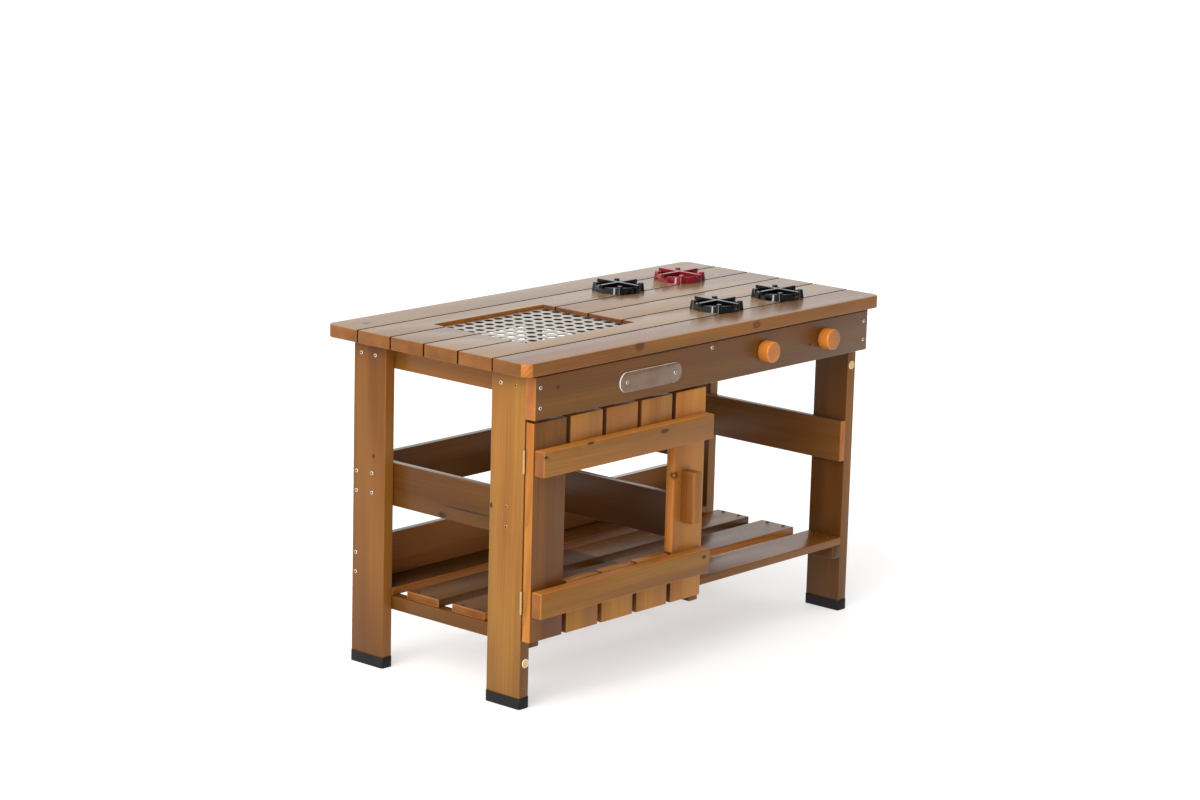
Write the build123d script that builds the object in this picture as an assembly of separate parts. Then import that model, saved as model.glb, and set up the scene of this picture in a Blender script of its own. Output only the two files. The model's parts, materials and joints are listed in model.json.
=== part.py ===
"""Children's barbecue play station: a slatted pine worktop with a perforated grill tray and four pretend
hobs, on an open frame with a slatted shelf and a framed door under the grill.

Millimetres, +Z up. Places are first worked out from the worktop's left end, its front edge and the floor,
and each piece is then moved so that the origin is on the floor at the middle of the whole station.
"""
import math
import os

from build123d import *

# Worktop
TOP_L = 1190.0
TOP_Z = 743.0
SLAT_COUNT = 6
SLAT_W = 95.0
SLAT_T = 28.0
SLAT_GAP = 3.0
TOP_CORNER_R = 22.0

# Eased corner on the long edges of every planed board
EDGE_EASE = 2.5

# Grill opening, its sheet steel tray and the cleats that carry both
CUT_LEFT = 166.0
CUT_L = 347.0
CUT_W = 270.0
CUT_MIDDLE_SET = 82.0
TRAY_CLEAR = 1.5
TRAY_DROP = 6.0
TRAY_CORNER_R = 4.0
SHEET_T = 1.5
HOLE_D = 20.0
HOLE_SIDES = 8
HOLE_PITCH = 30.5
HOLE_MARGIN = 8.0
CLEAT_T = 22.0
CLEAT_BEARING = 24.0
CLEAT_LEDGE = 12.0
CLEAT_END_SET = 12.0

# Pretend hobs, the right pair measured from the worktop's right end
HOB_END_SET = 204.0
HOB_STEP_X = 216.0
HOB_FRONT_Y = 141.0
HOB_STEP_Y = 290.0
HOB_R = 54.0
HOB_WALL = 7.0
HOB_H = 15.0
HOB_FLOOR = 2.5
HOB_LUG_R = 8.5
HOB_LUG_OUT = 6.0
HOB_LUG_H = 19.5
HOB_BAR_W = 9.0
HOB_BAR_DEPTH = 9.0
HOB_BAR_TOP = 20.5
HOB_BAR_REACH = 61.0
HOB_HUB_R = 8.0

# Legs and their moulded foot caps
LEG_T = 28.0
LEG_W = 95.0
LEG_SIDE_SET = 37.0
BACK_OVERHANG = 50.0
CAP_H = 24.0
CAP_WALL = 1.5
CAP_BASE = 3.0
CAP_CLEAR = 0.2
CAP_CORNER_R = 5.5

# Front apron, rails under the top, side and back rails
APRON_T = 28.0
APRON_H = 95.0
APRON_SET = 9.0
CROSS_T = 28.0
CROSS_H = 57.0
MIDDLE_CROSS_H = 30.0
RAIL_T = 18.0
RAIL_H = 95.0
RAIL_Z = 358.0

# Shelf and its bearers
BEARER_T = 28.0
BEARER_H = 30.0
BEARER_Z = 128.0
SHELF_COUNT = 4
SHELF_W = 95.0
SHELF_T = 18.0
SHELF_END_SET = 5.5

# Open partition beside the door bay: two boards on two uprights, and the lath that the door closes against
PARTITION_T = 18.0
PARTITION_BOARD_H = 100.0
PARTITION_GAP = 85.0
UPRIGHT_T = 28.0
UPRIGHT_W = 30.0
STOP_T = 12.0

# Door
DOOR_BOARDS = 5
DOOR_BOARD_W = 100.0
DOOR_T = 22.0
DOOR_H = 465.0
DOOR_SIDE_SET = 1.0
DOOR_LAP = 6.0
DOOR_TOP_GAP = 6.0
BATTEN_T = 28.0
BATTEN_H = 55.0
BATTEN_END_SET = 2.5
TOP_BATTEN_DROP = 55.5
LOW_BATTEN_RISE = 55.0
BOARD_HIDE = 4.0
BOARD_SHOW = 2.0
HANDLE_T = 28.0
HANDLE_D = 36.0
HANDLE_H = 115.0
HANDLE_SET = 25.0

# Butt hinges folded between the left front leg and the door
HINGE_L = 50.0
LEAF_T = 1.2
LEAF_W = 22.0
LEAF_CLEAR = 0.2
KNUCKLES = 3
KNUCKLE_GAP = 0.3
PIN_R = 1.5
PIN_CLEAR = 0.05
HINGE_OUT = 1.8

# Turned knobs on their bolts, the right one measured from the worktop's right end, and the bare plate
KNOB_END_SET = 196.0
KNOB_STEP = 215.0
KNOB_R = 23.5
KNOB_L = 28.6
KNOB_GAP = 0.4
KNOB_ROUND = 5.0
KNOB_ROUND_STEPS = 3
KNOB_BORE = 20.0
BOLT_R = 3.0
BOLT_CLEAR = 0.05
BOLT_END_GAP = 1.0
BOLT_HEAD_R = 6.0
BOLT_HEAD_H = 4.0
PLATE_X = 394.7
PLATE_DROP = 5.5
PLATE_L = 198.0
PLATE_H = 43.0
PLATE_T = 3.0
PLATE_HOLE_R = 2.5

# Levels and lines that several pieces share
TOP_W = SLAT_COUNT * SLAT_W + (SLAT_COUNT - 1) * SLAT_GAP
TOP_UNDER = TOP_Z - SLAT_T
FRAME_FRONT = APRON_SET + APRON_T
FRAME_BACK = TOP_W - BACK_OVERHANG
LEFT_IN = LEG_SIDE_SET + LEG_T
RIGHT_IN = TOP_L - LEFT_IN
TOP_MIDDLE_X = TOP_L / 2
MIDDLE_X = CUT_LEFT + CUT_L + CUT_MIDDLE_SET
MIDDLE_Y = TOP_W / 2
RAIL_FRONT = FRAME_BACK - RAIL_T
SHELF_Z = BEARER_Z + BEARER_H
SHELF_TOP = SHELF_Z + SHELF_T
APRON_Z = TOP_UNDER - APRON_H
APRON_MIDDLE_Z = TOP_UNDER - APRON_H / 2
PARTITION_X = MIDDLE_X - BEARER_T / 2
PARTITION_Y = FRAME_FRONT + STOP_T
FLAT_RAIL_Y = FRAME_BACK - CROSS_H
FLAT_RAIL_Z = TOP_UNDER - CROSS_T

HINGE_GAP = 2 * LEAF_T + LEAF_CLEAR
HINGE_X = LEG_SIDE_SET - HINGE_OUT
HINGE_Y = FRAME_FRONT - HINGE_GAP / 2
KNUCKLE_R = PIN_R + PIN_CLEAR + LEAF_T
KNUCKLE_STEP = HINGE_L / KNUCKLES

DOOR_LEFT = LEG_SIDE_SET + DOOR_SIDE_SET
DOOR_RIGHT = PARTITION_X + DOOR_LAP
DOOR_BACK = FRAME_FRONT - HINGE_GAP
DOOR_FRONT = DOOR_BACK - DOOR_T
DOOR_TOP = APRON_Z - DOOR_TOP_GAP
DOOR_FOOT = DOOR_TOP - DOOR_H
DOOR_STEP = (DOOR_RIGHT - DOOR_LEFT - DOOR_BOARD_W) / (DOOR_BOARDS - 1)
TOP_BATTEN_Z = DOOR_TOP - TOP_BATTEN_DROP - BATTEN_H
LOW_BATTEN_Z = DOOR_FOOT + LOW_BATTEN_RISE
HINGE_HEIGHTS = (LOW_BATTEN_Z + BATTEN_H / 2, TOP_BATTEN_Z + BATTEN_H / 2)

# The origin is under the middle of the station, counting what stands out in front of the worktop
FRONT_REACH = max(HANDLE_D - DOOR_FRONT, BATTEN_T - DOOR_FRONT, KNOB_L + KNOB_GAP - APRON_SET)
ORIGIN = Pos(-TOP_MIDDLE_X, (FRONT_REACH - TOP_W) / 2, 0)

SECTION_PLANES = {"x": Plane.YZ, "y": Plane.XZ, "z": Plane.XY}


def eased_rectangle(width, height):
    """The section of a planed board: a rectangle with its corners cut off a little."""
    outline = Rectangle(width, height)
    return chamfer(outline.vertices(), min(EDGE_EASE, 0.3 * min(width, height)))


def board(along, low, high):
    """A straight planed board between two opposite corners, its long edges eased."""
    size = Vector(*high) - Vector(*low)
    sides = {"x": (size.Y, size.Z, size.X), "y": (size.X, size.Z, size.Y), "z": (size.X, size.Y, size.Z)}
    width, height, length = sides[along]
    section = SECTION_PLANES[along].offset(-length / 2) * eased_rectangle(width, height)
    middle = (Vector(*high) + Vector(*low)) * 0.5
    return Pos(*middle) * extrude(section, amount=length)


def block(low, high):
    """A square-edged box between two opposite corners."""
    size = Vector(*high) - Vector(*low)
    middle = (Vector(*high) + Vector(*low)) * 0.5
    return Pos(*middle) * Box(size.X, size.Y, size.Z)


def rod(along, start, length, radius):
    """A round bar that starts at a point and runs along +Y or +Z."""
    turn = {"y": Rot(-90, 0, 0), "z": Rot(0, 0, 0)}[along]
    return Pos(*start) * turn * extrude(Circle(radius), amount=length)


def mirrored_x(left, width):
    """The two X positions of a piece of the given width, on the left and on the right of the station."""
    return {"left": left, "right": TOP_L - left - width}


def grill_opening():
    """The space that the grill opening takes out of the worktop."""
    low = (CUT_LEFT, MIDDLE_Y - CUT_W / 2, TOP_UNDER)
    high = (CUT_LEFT + CUT_L, MIDDLE_Y + CUT_W / 2, TOP_Z)
    return block(low, high)


def top_slats():
    """The worktop boards from front to back: rounded outer corners, cut round the grill."""
    outline = Pos(TOP_MIDDLE_X, MIDDLE_Y, TOP_UNDER) * RectangleRounded(TOP_L, TOP_W, TOP_CORNER_R)
    worktop = extrude(outline, amount=SLAT_T) - grill_opening()
    slats = {}
    for number in range(SLAT_COUNT):
        front = number * (SLAT_W + SLAT_GAP)
        slat = board("x", (0, front, TOP_UNDER), (TOP_L, front + SLAT_W, TOP_Z))
        slats[f"top_slat_{number + 1}"] = slat & worktop
    return slats


def hole_count(side):
    """How many holes fit along a side of the tray."""
    return int((side - 2 * HOLE_MARGIN - HOLE_D) / HOLE_PITCH) + 1


def grill_tray():
    """Perforated sheet with turned-down sides, which stand on the cleats."""
    length = CUT_L - 2 * TRAY_CLEAR
    width = CUT_W - 2 * TRAY_CLEAR
    height = SLAT_T - TRAY_DROP
    outside = RectangleRounded(length, width, TRAY_CORNER_R)
    inside = RectangleRounded(length - 2 * SHEET_T, width - 2 * SHEET_T, TRAY_CORNER_R - SHEET_T)
    places = GridLocations(HOLE_PITCH, HOLE_PITCH, hole_count(length), hole_count(width))
    sheet = outside - [place * RegularPolygon(HOLE_D / 2, HOLE_SIDES) for place in places]
    sides = extrude(outside - inside, amount=height)
    tray = sides + Pos(0, 0, height - SHEET_T) * extrude(sheet, amount=SHEET_T)
    return Pos(CUT_LEFT + CUT_L / 2, MIDDLE_Y, TOP_UNDER) * tray


def grill_cleats():
    """Two cleats under the cut slat ends, with a ledge each that the tray stands on."""
    front = SLAT_W + SLAT_GAP + CLEAT_END_SET
    back = TOP_W - front
    starts = {"left": CUT_LEFT - CLEAT_BEARING, "right": CUT_LEFT + CUT_L - CLEAT_LEDGE}
    cleats = {}
    for side, start in starts.items():
        low = (start, front, TOP_UNDER - CLEAT_T)
        high = (start + CLEAT_BEARING + CLEAT_LEDGE, back, TOP_UNDER)
        cleats[f"grill_cleat_{side}"] = board("y", low, high)
    return cleats


def hob():
    """A moulded ring with a floor, four round lugs and, between them, a cross of pan bars that reaches past it."""
    ring = Circle(HOB_R) - Circle(HOB_R - HOB_WALL)
    lug_places = PolarLocations(HOB_R + HOB_LUG_OUT - HOB_LUG_R, 4, start_angle=45)
    lugs = Sketch() + [place * Circle(HOB_LUG_R) for place in lug_places]
    bar_l = 2 * HOB_BAR_REACH
    cross = Rectangle(bar_l, HOB_BAR_W) + Rectangle(HOB_BAR_W, bar_l)
    shape = extrude(ring, amount=HOB_H) + extrude(Circle(HOB_R), amount=HOB_FLOOR)
    shape += extrude(lugs, amount=HOB_LUG_H)
    shape += Pos(0, 0, HOB_BAR_TOP - HOB_BAR_DEPTH) * extrude(cross, amount=HOB_BAR_DEPTH)
    return shape + extrude(Circle(HOB_HUB_R), amount=HOB_BAR_TOP)


def hobs():
    """The four hobs in two rows on the worktop."""
    shape = hob()
    right_x = TOP_L - HOB_END_SET
    placed = {}
    for row, y in {"front": HOB_FRONT_Y, "back": HOB_FRONT_Y + HOB_STEP_Y}.items():
        for side, x in {"left": right_x - HOB_STEP_X, "right": right_x}.items():
            placed[f"hob_{row}_{side}"] = Pos(x, y, TOP_Z) * shape
    return placed


def legs():
    """Four upright boards and the moulded caps that they stand in."""
    pieces = {}
    for row, y in {"front": FRAME_FRONT, "back": FRAME_BACK - LEG_W}.items():
        for side, x in mirrored_x(LEG_SIDE_SET, LEG_T).items():
            leg = board("z", (x, y, CAP_BASE), (x + LEG_T, y + LEG_W, TOP_UNDER))
            pieces[f"leg_{row}_{side}"] = leg
            pieces[f"foot_cap_{row}_{side}"] = Pos(x + LEG_T / 2, y + LEG_W / 2, 0) * foot_cap()
    return pieces


def foot_cap():
    """A shallow cup round the end of a leg."""
    inner_x = LEG_T + 2 * CAP_CLEAR
    inner_y = LEG_W + 2 * CAP_CLEAR
    cup = RectangleRounded(inner_x + 2 * CAP_WALL, inner_y + 2 * CAP_WALL, CAP_CORNER_R)
    pocket = eased_rectangle(inner_x, inner_y)
    return extrude(cup, amount=CAP_H) - Pos(0, 0, CAP_BASE) * extrude(pocket, amount=CAP_H)


def knob_places():
    """The X positions of the knobs along the apron."""
    right_x = TOP_L - KNOB_END_SET
    return {"left": right_x - KNOB_STEP, "right": right_x}


def front_apron():
    """The board across the front, bored for the knob bolts."""
    low = (LEG_SIDE_SET, APRON_SET, APRON_Z)
    high = (TOP_L - LEG_SIDE_SET, FRAME_FRONT, TOP_UNDER)
    apron = board("x", low, high)
    for x in knob_places().values():
        apron -= rod("y", (x, APRON_SET, APRON_MIDDLE_Z), APRON_T, BOLT_R + BOLT_CLEAR)
    return apron


def front_plate():
    """A bare plate with round ends and two screw holes, on the apron."""
    ends = GridLocations(PLATE_L - PLATE_H, 0, 2, 1)
    outline = SlotOverall(PLATE_L, PLATE_H) - [end * Circle(PLATE_HOLE_R) for end in ends]
    face = Plane.XZ * outline
    return Pos(PLATE_X, APRON_SET, APRON_MIDDLE_Z - PLATE_DROP) * extrude(face, amount=PLATE_T)


def knob():
    """A turned knob on its own axis, from its back at the origin along -Y: the front edge is rounded in a few
    flat steps, and the back has a blind bore for the bolt."""
    steps = [math.radians(90 * number / KNOB_ROUND_STEPS) for number in range(KNOB_ROUND_STEPS + 1)]
    centre_r = KNOB_R - KNOB_ROUND
    centre_y = KNOB_ROUND - KNOB_L
    rim = [(centre_r + KNOB_ROUND * math.cos(step), centre_y - KNOB_ROUND * math.sin(step)) for step in steps]
    section = make_face(Polyline((0, 0), (KNOB_R, 0), *rim, (0, -KNOB_L), close=True))
    turned = revolve(section, Axis.Y)
    return turned - rod("y", (0, -KNOB_BORE, 0), KNOB_BORE, BOLT_R + BOLT_CLEAR)


def knobs():
    """The two knobs, and the bolts through the apron that they turn on."""
    pieces = {}
    bolts = []
    back = APRON_SET - KNOB_GAP
    shape = knob()
    for side, x in knob_places().items():
        pieces[f"knob_{side}"] = Pos(x, back, APRON_MIDDLE_Z) * shape
        start = back - KNOB_BORE + BOLT_END_GAP
        shank = rod("y", (x, start, APRON_MIDDLE_Z), FRAME_FRONT - start, BOLT_R)
        nut_face = Pos(x, FRAME_FRONT + BOLT_HEAD_H, APRON_MIDDLE_Z) * (Plane.XZ * RegularPolygon(BOLT_HEAD_R, 6))
        bolts.append(shank + extrude(nut_face, amount=BOLT_HEAD_H))
    pieces["knob_bolts"] = Compound(bolts)
    return pieces


def cross_rails():
    """Rails under the worktop: one on edge inside each pair of legs, one laid flat along the back between them,
    and one in the middle."""
    rails = {}
    for side, x in mirrored_x(LEFT_IN, CROSS_T).items():
        low = (x, FRAME_FRONT, TOP_UNDER - CROSS_H)
        rails[f"cross_rail_{side}"] = board("y", low, (x + CROSS_T, FRAME_BACK, TOP_UNDER))
    low = (MIDDLE_X - CROSS_T / 2, FRAME_FRONT, TOP_UNDER - MIDDLE_CROSS_H)
    rails["cross_rail_middle"] = board("y", low, (MIDDLE_X + CROSS_T / 2, FLAT_RAIL_Y, TOP_UNDER))
    low = (LEFT_IN + CROSS_T, FLAT_RAIL_Y, FLAT_RAIL_Z)
    rails["back_rail_top"] = board("x", low, (RIGHT_IN - CROSS_T, FRAME_BACK, TOP_UNDER))
    return rails


def side_and_back_rails():
    """Rails at half height on three sides, and the lower back rail that stands on the shelf."""
    rails = {}
    for side, x in mirrored_x(LEFT_IN, RAIL_T).items():
        low = (x, FRAME_FRONT, RAIL_Z)
        rails[f"side_rail_{side}"] = board("y", low, (x + RAIL_T, RAIL_FRONT, RAIL_Z + RAIL_H))
    for name, z in {"middle": RAIL_Z, "lower": SHELF_TOP}.items():
        low = (LEFT_IN, RAIL_FRONT, z)
        rails[f"back_rail_{name}"] = board("x", low, (RIGHT_IN, FRAME_BACK, z + RAIL_H))
    return rails


def shelf():
    """Slats on three bearers. The outer slats fill the space between the legs, the inner ones stop short."""
    pieces = {}
    starts = mirrored_x(LEFT_IN, BEARER_T)
    starts["middle"] = MIDDLE_X - BEARER_T / 2
    for side, x in starts.items():
        low = (x, FRAME_FRONT, BEARER_Z)
        pieces[f"bearer_{side}"] = board("y", low, (x + BEARER_T, FRAME_BACK, SHELF_Z))
    step = (FRAME_BACK - FRAME_FRONT - SHELF_W) / (SHELF_COUNT - 1)
    for number in range(SHELF_COUNT):
        outer = number in (0, SHELF_COUNT - 1)
        inset = 0 if outer else SHELF_END_SET
        y = FRAME_FRONT + number * step
        low = (LEFT_IN + inset, y, SHELF_Z)
        high = (RIGHT_IN - inset, y + SHELF_W, SHELF_TOP)
        pieces[f"shelf_slat_{number + 1}"] = board("x", low, high)
    return pieces


def partition():
    """Two boards on edge, one over the other with equal gaps, their upright cleats, and the door's stop lath."""
    pieces = {}
    for number, name in enumerate(("lower", "upper")):
        z = SHELF_TOP + PARTITION_GAP + number * (PARTITION_BOARD_H + PARTITION_GAP)
        low = (PARTITION_X, PARTITION_Y, z)
        high = (PARTITION_X + PARTITION_T, RAIL_FRONT, z + PARTITION_BOARD_H)
        pieces[f"partition_{name}"] = board("y", low, high)
    cleats = []
    for y, top in ((PARTITION_Y, TOP_UNDER), (RAIL_FRONT - UPRIGHT_W, FLAT_RAIL_Z)):
        cleats.append(board("z", (PARTITION_X - UPRIGHT_T, y, SHELF_TOP), (PARTITION_X, y + UPRIGHT_W, top)))
    pieces["partition_cleats"] = Compound(cleats)
    low = (PARTITION_X - UPRIGHT_T, FRAME_FRONT, SHELF_TOP)
    pieces["door_stop"] = board("z", low, (PARTITION_X, PARTITION_Y, TOP_UNDER))
    return pieces


def door():
    """Upright boards behind two battens, the middle boards cut away for the window, and a block handle."""
    pieces = {}
    upper_foot = TOP_BATTEN_Z + BOARD_HIDE
    lower_top = LOW_BATTEN_Z + BATTEN_H + BOARD_SHOW
    for number in range(DOOR_BOARDS):
        x = DOOR_LEFT + number * DOOR_STEP
        spans = {f"door_upper_board_{number}": (upper_foot, DOOR_TOP),
                 f"door_lower_board_{number}": (DOOR_FOOT, lower_top)}
        if number == 0:
            spans = {"door_stile_left": (DOOR_FOOT, DOOR_TOP)}
        if number == DOOR_BOARDS - 1:
            spans = {"door_stile_right": (DOOR_FOOT, DOOR_TOP)}
        for name, (foot, top) in spans.items():
            pieces[name] = board("z", (x, DOOR_FRONT, foot), (x + DOOR_BOARD_W, DOOR_BACK, top))
    for name, z in {"top": TOP_BATTEN_Z, "bottom": LOW_BATTEN_Z}.items():
        low = (DOOR_LEFT + BATTEN_END_SET, DOOR_FRONT - BATTEN_T, z)
        high = (DOOR_RIGHT - BATTEN_END_SET, DOOR_FRONT, z + BATTEN_H)
        pieces[f"door_batten_{name}"] = board("x", low, high)
    handle_x = DOOR_RIGHT - DOOR_BOARD_W + HANDLE_SET
    handle_z = (DOOR_FOOT + DOOR_TOP - HANDLE_H) / 2
    low = (handle_x, DOOR_FRONT - HANDLE_D, handle_z)
    pieces["door_handle"] = board("z", low, (handle_x + HANDLE_T, DOOR_FRONT, handle_z + HANDLE_H))
    return pieces


def hinge_leaf(middle_z, back, own_knuckles):
    """One leaf of a butt hinge: a plate with every second knuckle, clear of the other leaf's knuckles."""
    foot = middle_z - HINGE_L / 2
    leaf = block((HINGE_X, back - LEAF_T, foot), (HINGE_X + LEAF_W, back, foot + HINGE_L))
    for number in range(KNUCKLES):
        start = foot + number * KNUCKLE_STEP
        if number % 2 == own_knuckles:
            start += KNUCKLE_GAP / 2
            leaf += rod("z", (HINGE_X, HINGE_Y, start), KNUCKLE_STEP - KNUCKLE_GAP, KNUCKLE_R)
        else:
            start -= KNUCKLE_GAP / 2
            leaf -= rod("z", (HINGE_X, HINGE_Y, start), KNUCKLE_STEP + KNUCKLE_GAP, KNUCKLE_R + KNUCKLE_GAP)
    return leaf - rod("z", (HINGE_X, HINGE_Y, foot), HINGE_L, PIN_R + PIN_CLEAR)


def hinges():
    """Two butt hinges: leaves on the leg, leaves on the door, and their pins."""
    frame_leaves = []
    door_leaves = []
    pins = []
    for z in HINGE_HEIGHTS:
        frame_leaves.append(hinge_leaf(z, FRAME_FRONT, 0))
        door_leaves.append(hinge_leaf(z, DOOR_BACK + LEAF_T, 1))
        pins.append(rod("z", (HINGE_X, HINGE_Y, z - HINGE_L / 2), HINGE_L, PIN_R))
    return {"hinge_frame_leaves": Compound(frame_leaves),
            "hinge_door_leaves": Compound(door_leaves),
            "hinge_pins": Compound(pins)}


def station():
    """Every piece of the station by name, in place."""
    pieces = {"grill_tray": grill_tray(), "front_apron": front_apron(), "front_plate": front_plate()}
    groups = (top_slats, grill_cleats, hobs, legs, knobs, cross_rails, side_and_back_rails, shelf, partition,
              door, hinges)
    for group in groups:
        pieces.update(group())
    return {name: ORIGIN * piece for name, piece in pieces.items()}


os.makedirs("parts", exist_ok=True)
for node, shape in station().items():
    export_step(shape, f"parts/{node}.step")
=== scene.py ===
"""Dresses a children's barbecue play station: brown stained pine boards, a perforated steel grill,
moulded hobs, turned knobs, screws and discs, on a pale studio floor.

Metres, +Z up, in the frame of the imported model. Sizes of small pieces are millimetres times MM.
"""
import json
import logging
import math
import random
from collections import Counter
from collections.abc import Callable, Iterator, Sequence
from contextlib import contextmanager
from dataclasses import dataclass, field
from enum import Enum

import bpy
from mathutils import Euler, Matrix, Vector


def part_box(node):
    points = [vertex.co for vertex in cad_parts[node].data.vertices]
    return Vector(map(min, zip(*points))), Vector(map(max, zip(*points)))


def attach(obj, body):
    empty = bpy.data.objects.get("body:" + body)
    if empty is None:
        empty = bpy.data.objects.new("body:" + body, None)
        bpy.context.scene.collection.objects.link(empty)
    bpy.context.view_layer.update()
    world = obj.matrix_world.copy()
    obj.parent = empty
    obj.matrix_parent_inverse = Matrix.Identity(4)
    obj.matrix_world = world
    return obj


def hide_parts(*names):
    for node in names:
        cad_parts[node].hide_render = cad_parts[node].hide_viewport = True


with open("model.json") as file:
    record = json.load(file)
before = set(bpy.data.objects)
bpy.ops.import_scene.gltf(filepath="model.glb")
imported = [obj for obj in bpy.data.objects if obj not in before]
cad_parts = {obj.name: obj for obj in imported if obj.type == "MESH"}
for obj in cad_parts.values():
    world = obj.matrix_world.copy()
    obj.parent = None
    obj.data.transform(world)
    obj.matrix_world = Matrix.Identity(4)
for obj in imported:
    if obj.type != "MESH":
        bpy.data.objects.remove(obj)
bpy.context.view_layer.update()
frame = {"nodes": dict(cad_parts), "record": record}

MM = 0.001
NEAR = 0.01 * MM
log = logging.getLogger("station")

Object = bpy.types.Object
Material = bpy.types.Material
Node = bpy.types.Node
Socket = bpy.types.NodeSocket
Outputs = bpy.types.bpy_prop_collection
Setting = Socket | float | str | Sequence[float]
Test = Callable[[Vector, Vector], bool]
Place = tuple[Vector, Vector]
Range = tuple[float, float]
Triple = tuple[float, float, float]

UP = (0, 0, 1)
LEFT = (-1, 0, 0)
RIGHT = (1, 0, 0)
FRONT = (0, -1, 0)
BACK = (0, 1, 0)
FLAT_ON = 0.9
WHITE = (1, 1, 1, 1)


class Axis(Enum):
    """A direction of the station, by its index in a vector."""

    X = 0
    Y = 1
    Z = 2

    @property
    def vector(self) -> Vector:
        """The unit vector along the axis."""
        return Vector([float(index == self.value) for index in range(3)])

    @property
    def turn(self) -> Triple:
        """The turn that lays a board from along X to along the axis."""
        return ((0, 0, 0), (0, 0, math.pi / 2), (0, -math.pi / 2, 0))[self.value]

    def own(self, vector: Vector) -> Vector:
        """A vector of the station in the directions of a board along the axis, the fibres first."""
        return Euler(self.turn).to_matrix().transposed() @ vector


class Element(Enum):
    """What edit mode selects."""

    EDGE = (False, True, False)
    FACE = (False, False, True)


class Body(Enum):
    """The bodies that pieces ride on."""

    FRAME = "frame"
    DOOR = "door"
    KNOB_LEFT = "knob_left"
    KNOB_RIGHT = "knob_right"


def station_point(x: float, y: float, z: float) -> Vector:
    """A point given in millimetres from the worktop's left end, its front edge and the floor."""
    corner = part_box("top_slat_1")[0]
    return Vector((corner.x + x * MM, corner.y + y * MM, z * MM))


def linear(colour: str) -> tuple[float, float, float, float]:
    """An sRGB hex colour as linear RGBA.

    Args:
        colour: Six hex digits after a hash.

    Returns:
        Red, green, blue and an alpha of one, linear.
    """
    channels = [int(colour[start:start + 2], 16) / 255 for start in (1, 3, 5)]
    red, green, blue = (c / 12.92 if c <= 0.04045 else ((c + 0.055) / 1.055) ** 2.4 for c in channels)
    return red, green, blue, 1.0


def ends_at(axis: Axis, *levels: float) -> Test:
    """The test for an edge that has both ends at one of the levels along an axis."""
    index = axis.value
    return lambda a, b: any(max(abs(a[index] - level), abs(b[index] - level)) < NEAR for level in levels)


def runs_along(axis: Axis) -> Test:
    """The test for an edge whose ends lie apart along an axis."""
    return lambda a, b: abs(a[axis.value] - b[axis.value]) > NEAR


def looks(way: Sequence[float], least: float = FLAT_ON) -> Test:
    """The test for a face whose normal has more than a least share of a direction."""
    return lambda centre, normal: normal.dot(Vector(way)) > least


def anything(first: Vector, second: Vector) -> bool:
    """The test that every edge and face passes."""
    return True


def select_only(*pieces: Object) -> None:
    """Selects these objects and nothing else, the last one active.

    Args:
        pieces: The objects.
    """
    bpy.ops.object.select_all(action="DESELECT")
    for piece in pieces:
        piece.select_set(True)
        bpy.context.view_layer.objects.active = piece


def settle(piece: Object, name: str) -> Object:
    """Names a piece and puts its place, turn and size into its mesh.

    Args:
        piece: The object.
        name: Its name, which its mesh gets too.

    Returns:
        The object.
    """
    select_only(piece)
    bpy.ops.object.transform_apply(location=True, rotation=True, scale=True)
    piece.name = piece.data.name = name
    return piece


def add_block(name: str, low: Vector, high: Vector) -> Object:
    """A cube stretched between two corners, to be shaped further.

    Args:
        name: The object's name.
        low: The lowest corner.
        high: The highest corner.

    Returns:
        The object, with its place in its mesh.
    """
    bpy.ops.object.select_all(action="DESELECT")
    bpy.ops.mesh.primitive_cube_add(size=1, location=(low + high) / 2)
    piece = bpy.context.object
    piece.scale = high - low
    return settle(piece, name)


def add_drum(name: str, centre: Vector, radius: float, depth: float, sides: int, axis: Axis = Axis.Z,
             taper: float = 0.0) -> Object:
    """A cylinder along an axis, to be shaped further.

    Args:
        name: The object's name.
        centre: Its middle.
        radius: Its radius.
        depth: Its length along the axis.
        sides: How many sides it has.
        axis: The direction of its length.
        taper: How much smaller its radius is at its far end.

    Returns:
        The object, with its place in its mesh.
    """
    turn = Vector(UP).rotation_difference(axis.vector).to_euler()
    bpy.ops.object.select_all(action="DESELECT")
    bpy.ops.mesh.primitive_cone_add(vertices=sides, radius1=radius, radius2=radius - taper, depth=depth,
                                    location=centre, rotation=turn)
    return settle(bpy.context.object, name)


def mark(piece: Object, element: Element, test: Test) -> None:
    """Selects the edges or faces of a piece that pass a test, and no others.

    Args:
        piece: The object, in object mode.
        element: Edges or faces.
        test: Takes an edge's two ends, or a face's centre and normal.
    """
    mesh = piece.data
    for items in (mesh.vertices, mesh.edges, mesh.polygons):
        items.foreach_set("select", [False] * len(items))
    if element is Element.EDGE:
        chosen = [edge for edge in mesh.edges if test(*(mesh.vertices[index].co for index in edge.vertices))]
    else:
        chosen = [face for face in mesh.polygons if test(face.center, face.normal)]
        for key in (key for face in chosen for key in face.loop_indices):
            mesh.edges[mesh.loops[key].edge_index].select = True
    for item in chosen:
        item.select = True
        for index in item.vertices:
            mesh.vertices[index].select = True


@contextmanager
def editing(piece: Object, element: Element, test: Test = anything) -> Iterator[None]:
    """Edit mode on one piece, for the length of a with block.

    Args:
        piece: The object.
        element: Whether its edges or faces are worked on.
        test: Picks those that are selected.
    """
    mark(piece, element, test)
    select_only(piece)
    bpy.context.tool_settings.mesh_select_mode = element.value
    bpy.ops.object.mode_set(mode="EDIT")
    yield
    bpy.ops.object.mode_set(mode="OBJECT")


def round_edges(piece: Object, test: Test, width: float, steps: int) -> None:
    """Bevels the edges that pass a test to a round, by its reach from the edge and its steps."""
    with editing(piece, Element.EDGE, test):
        bpy.ops.mesh.bevel(offset=width, segments=steps, profile=0.5, affect="EDGES", clamp_overlap=True)


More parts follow.
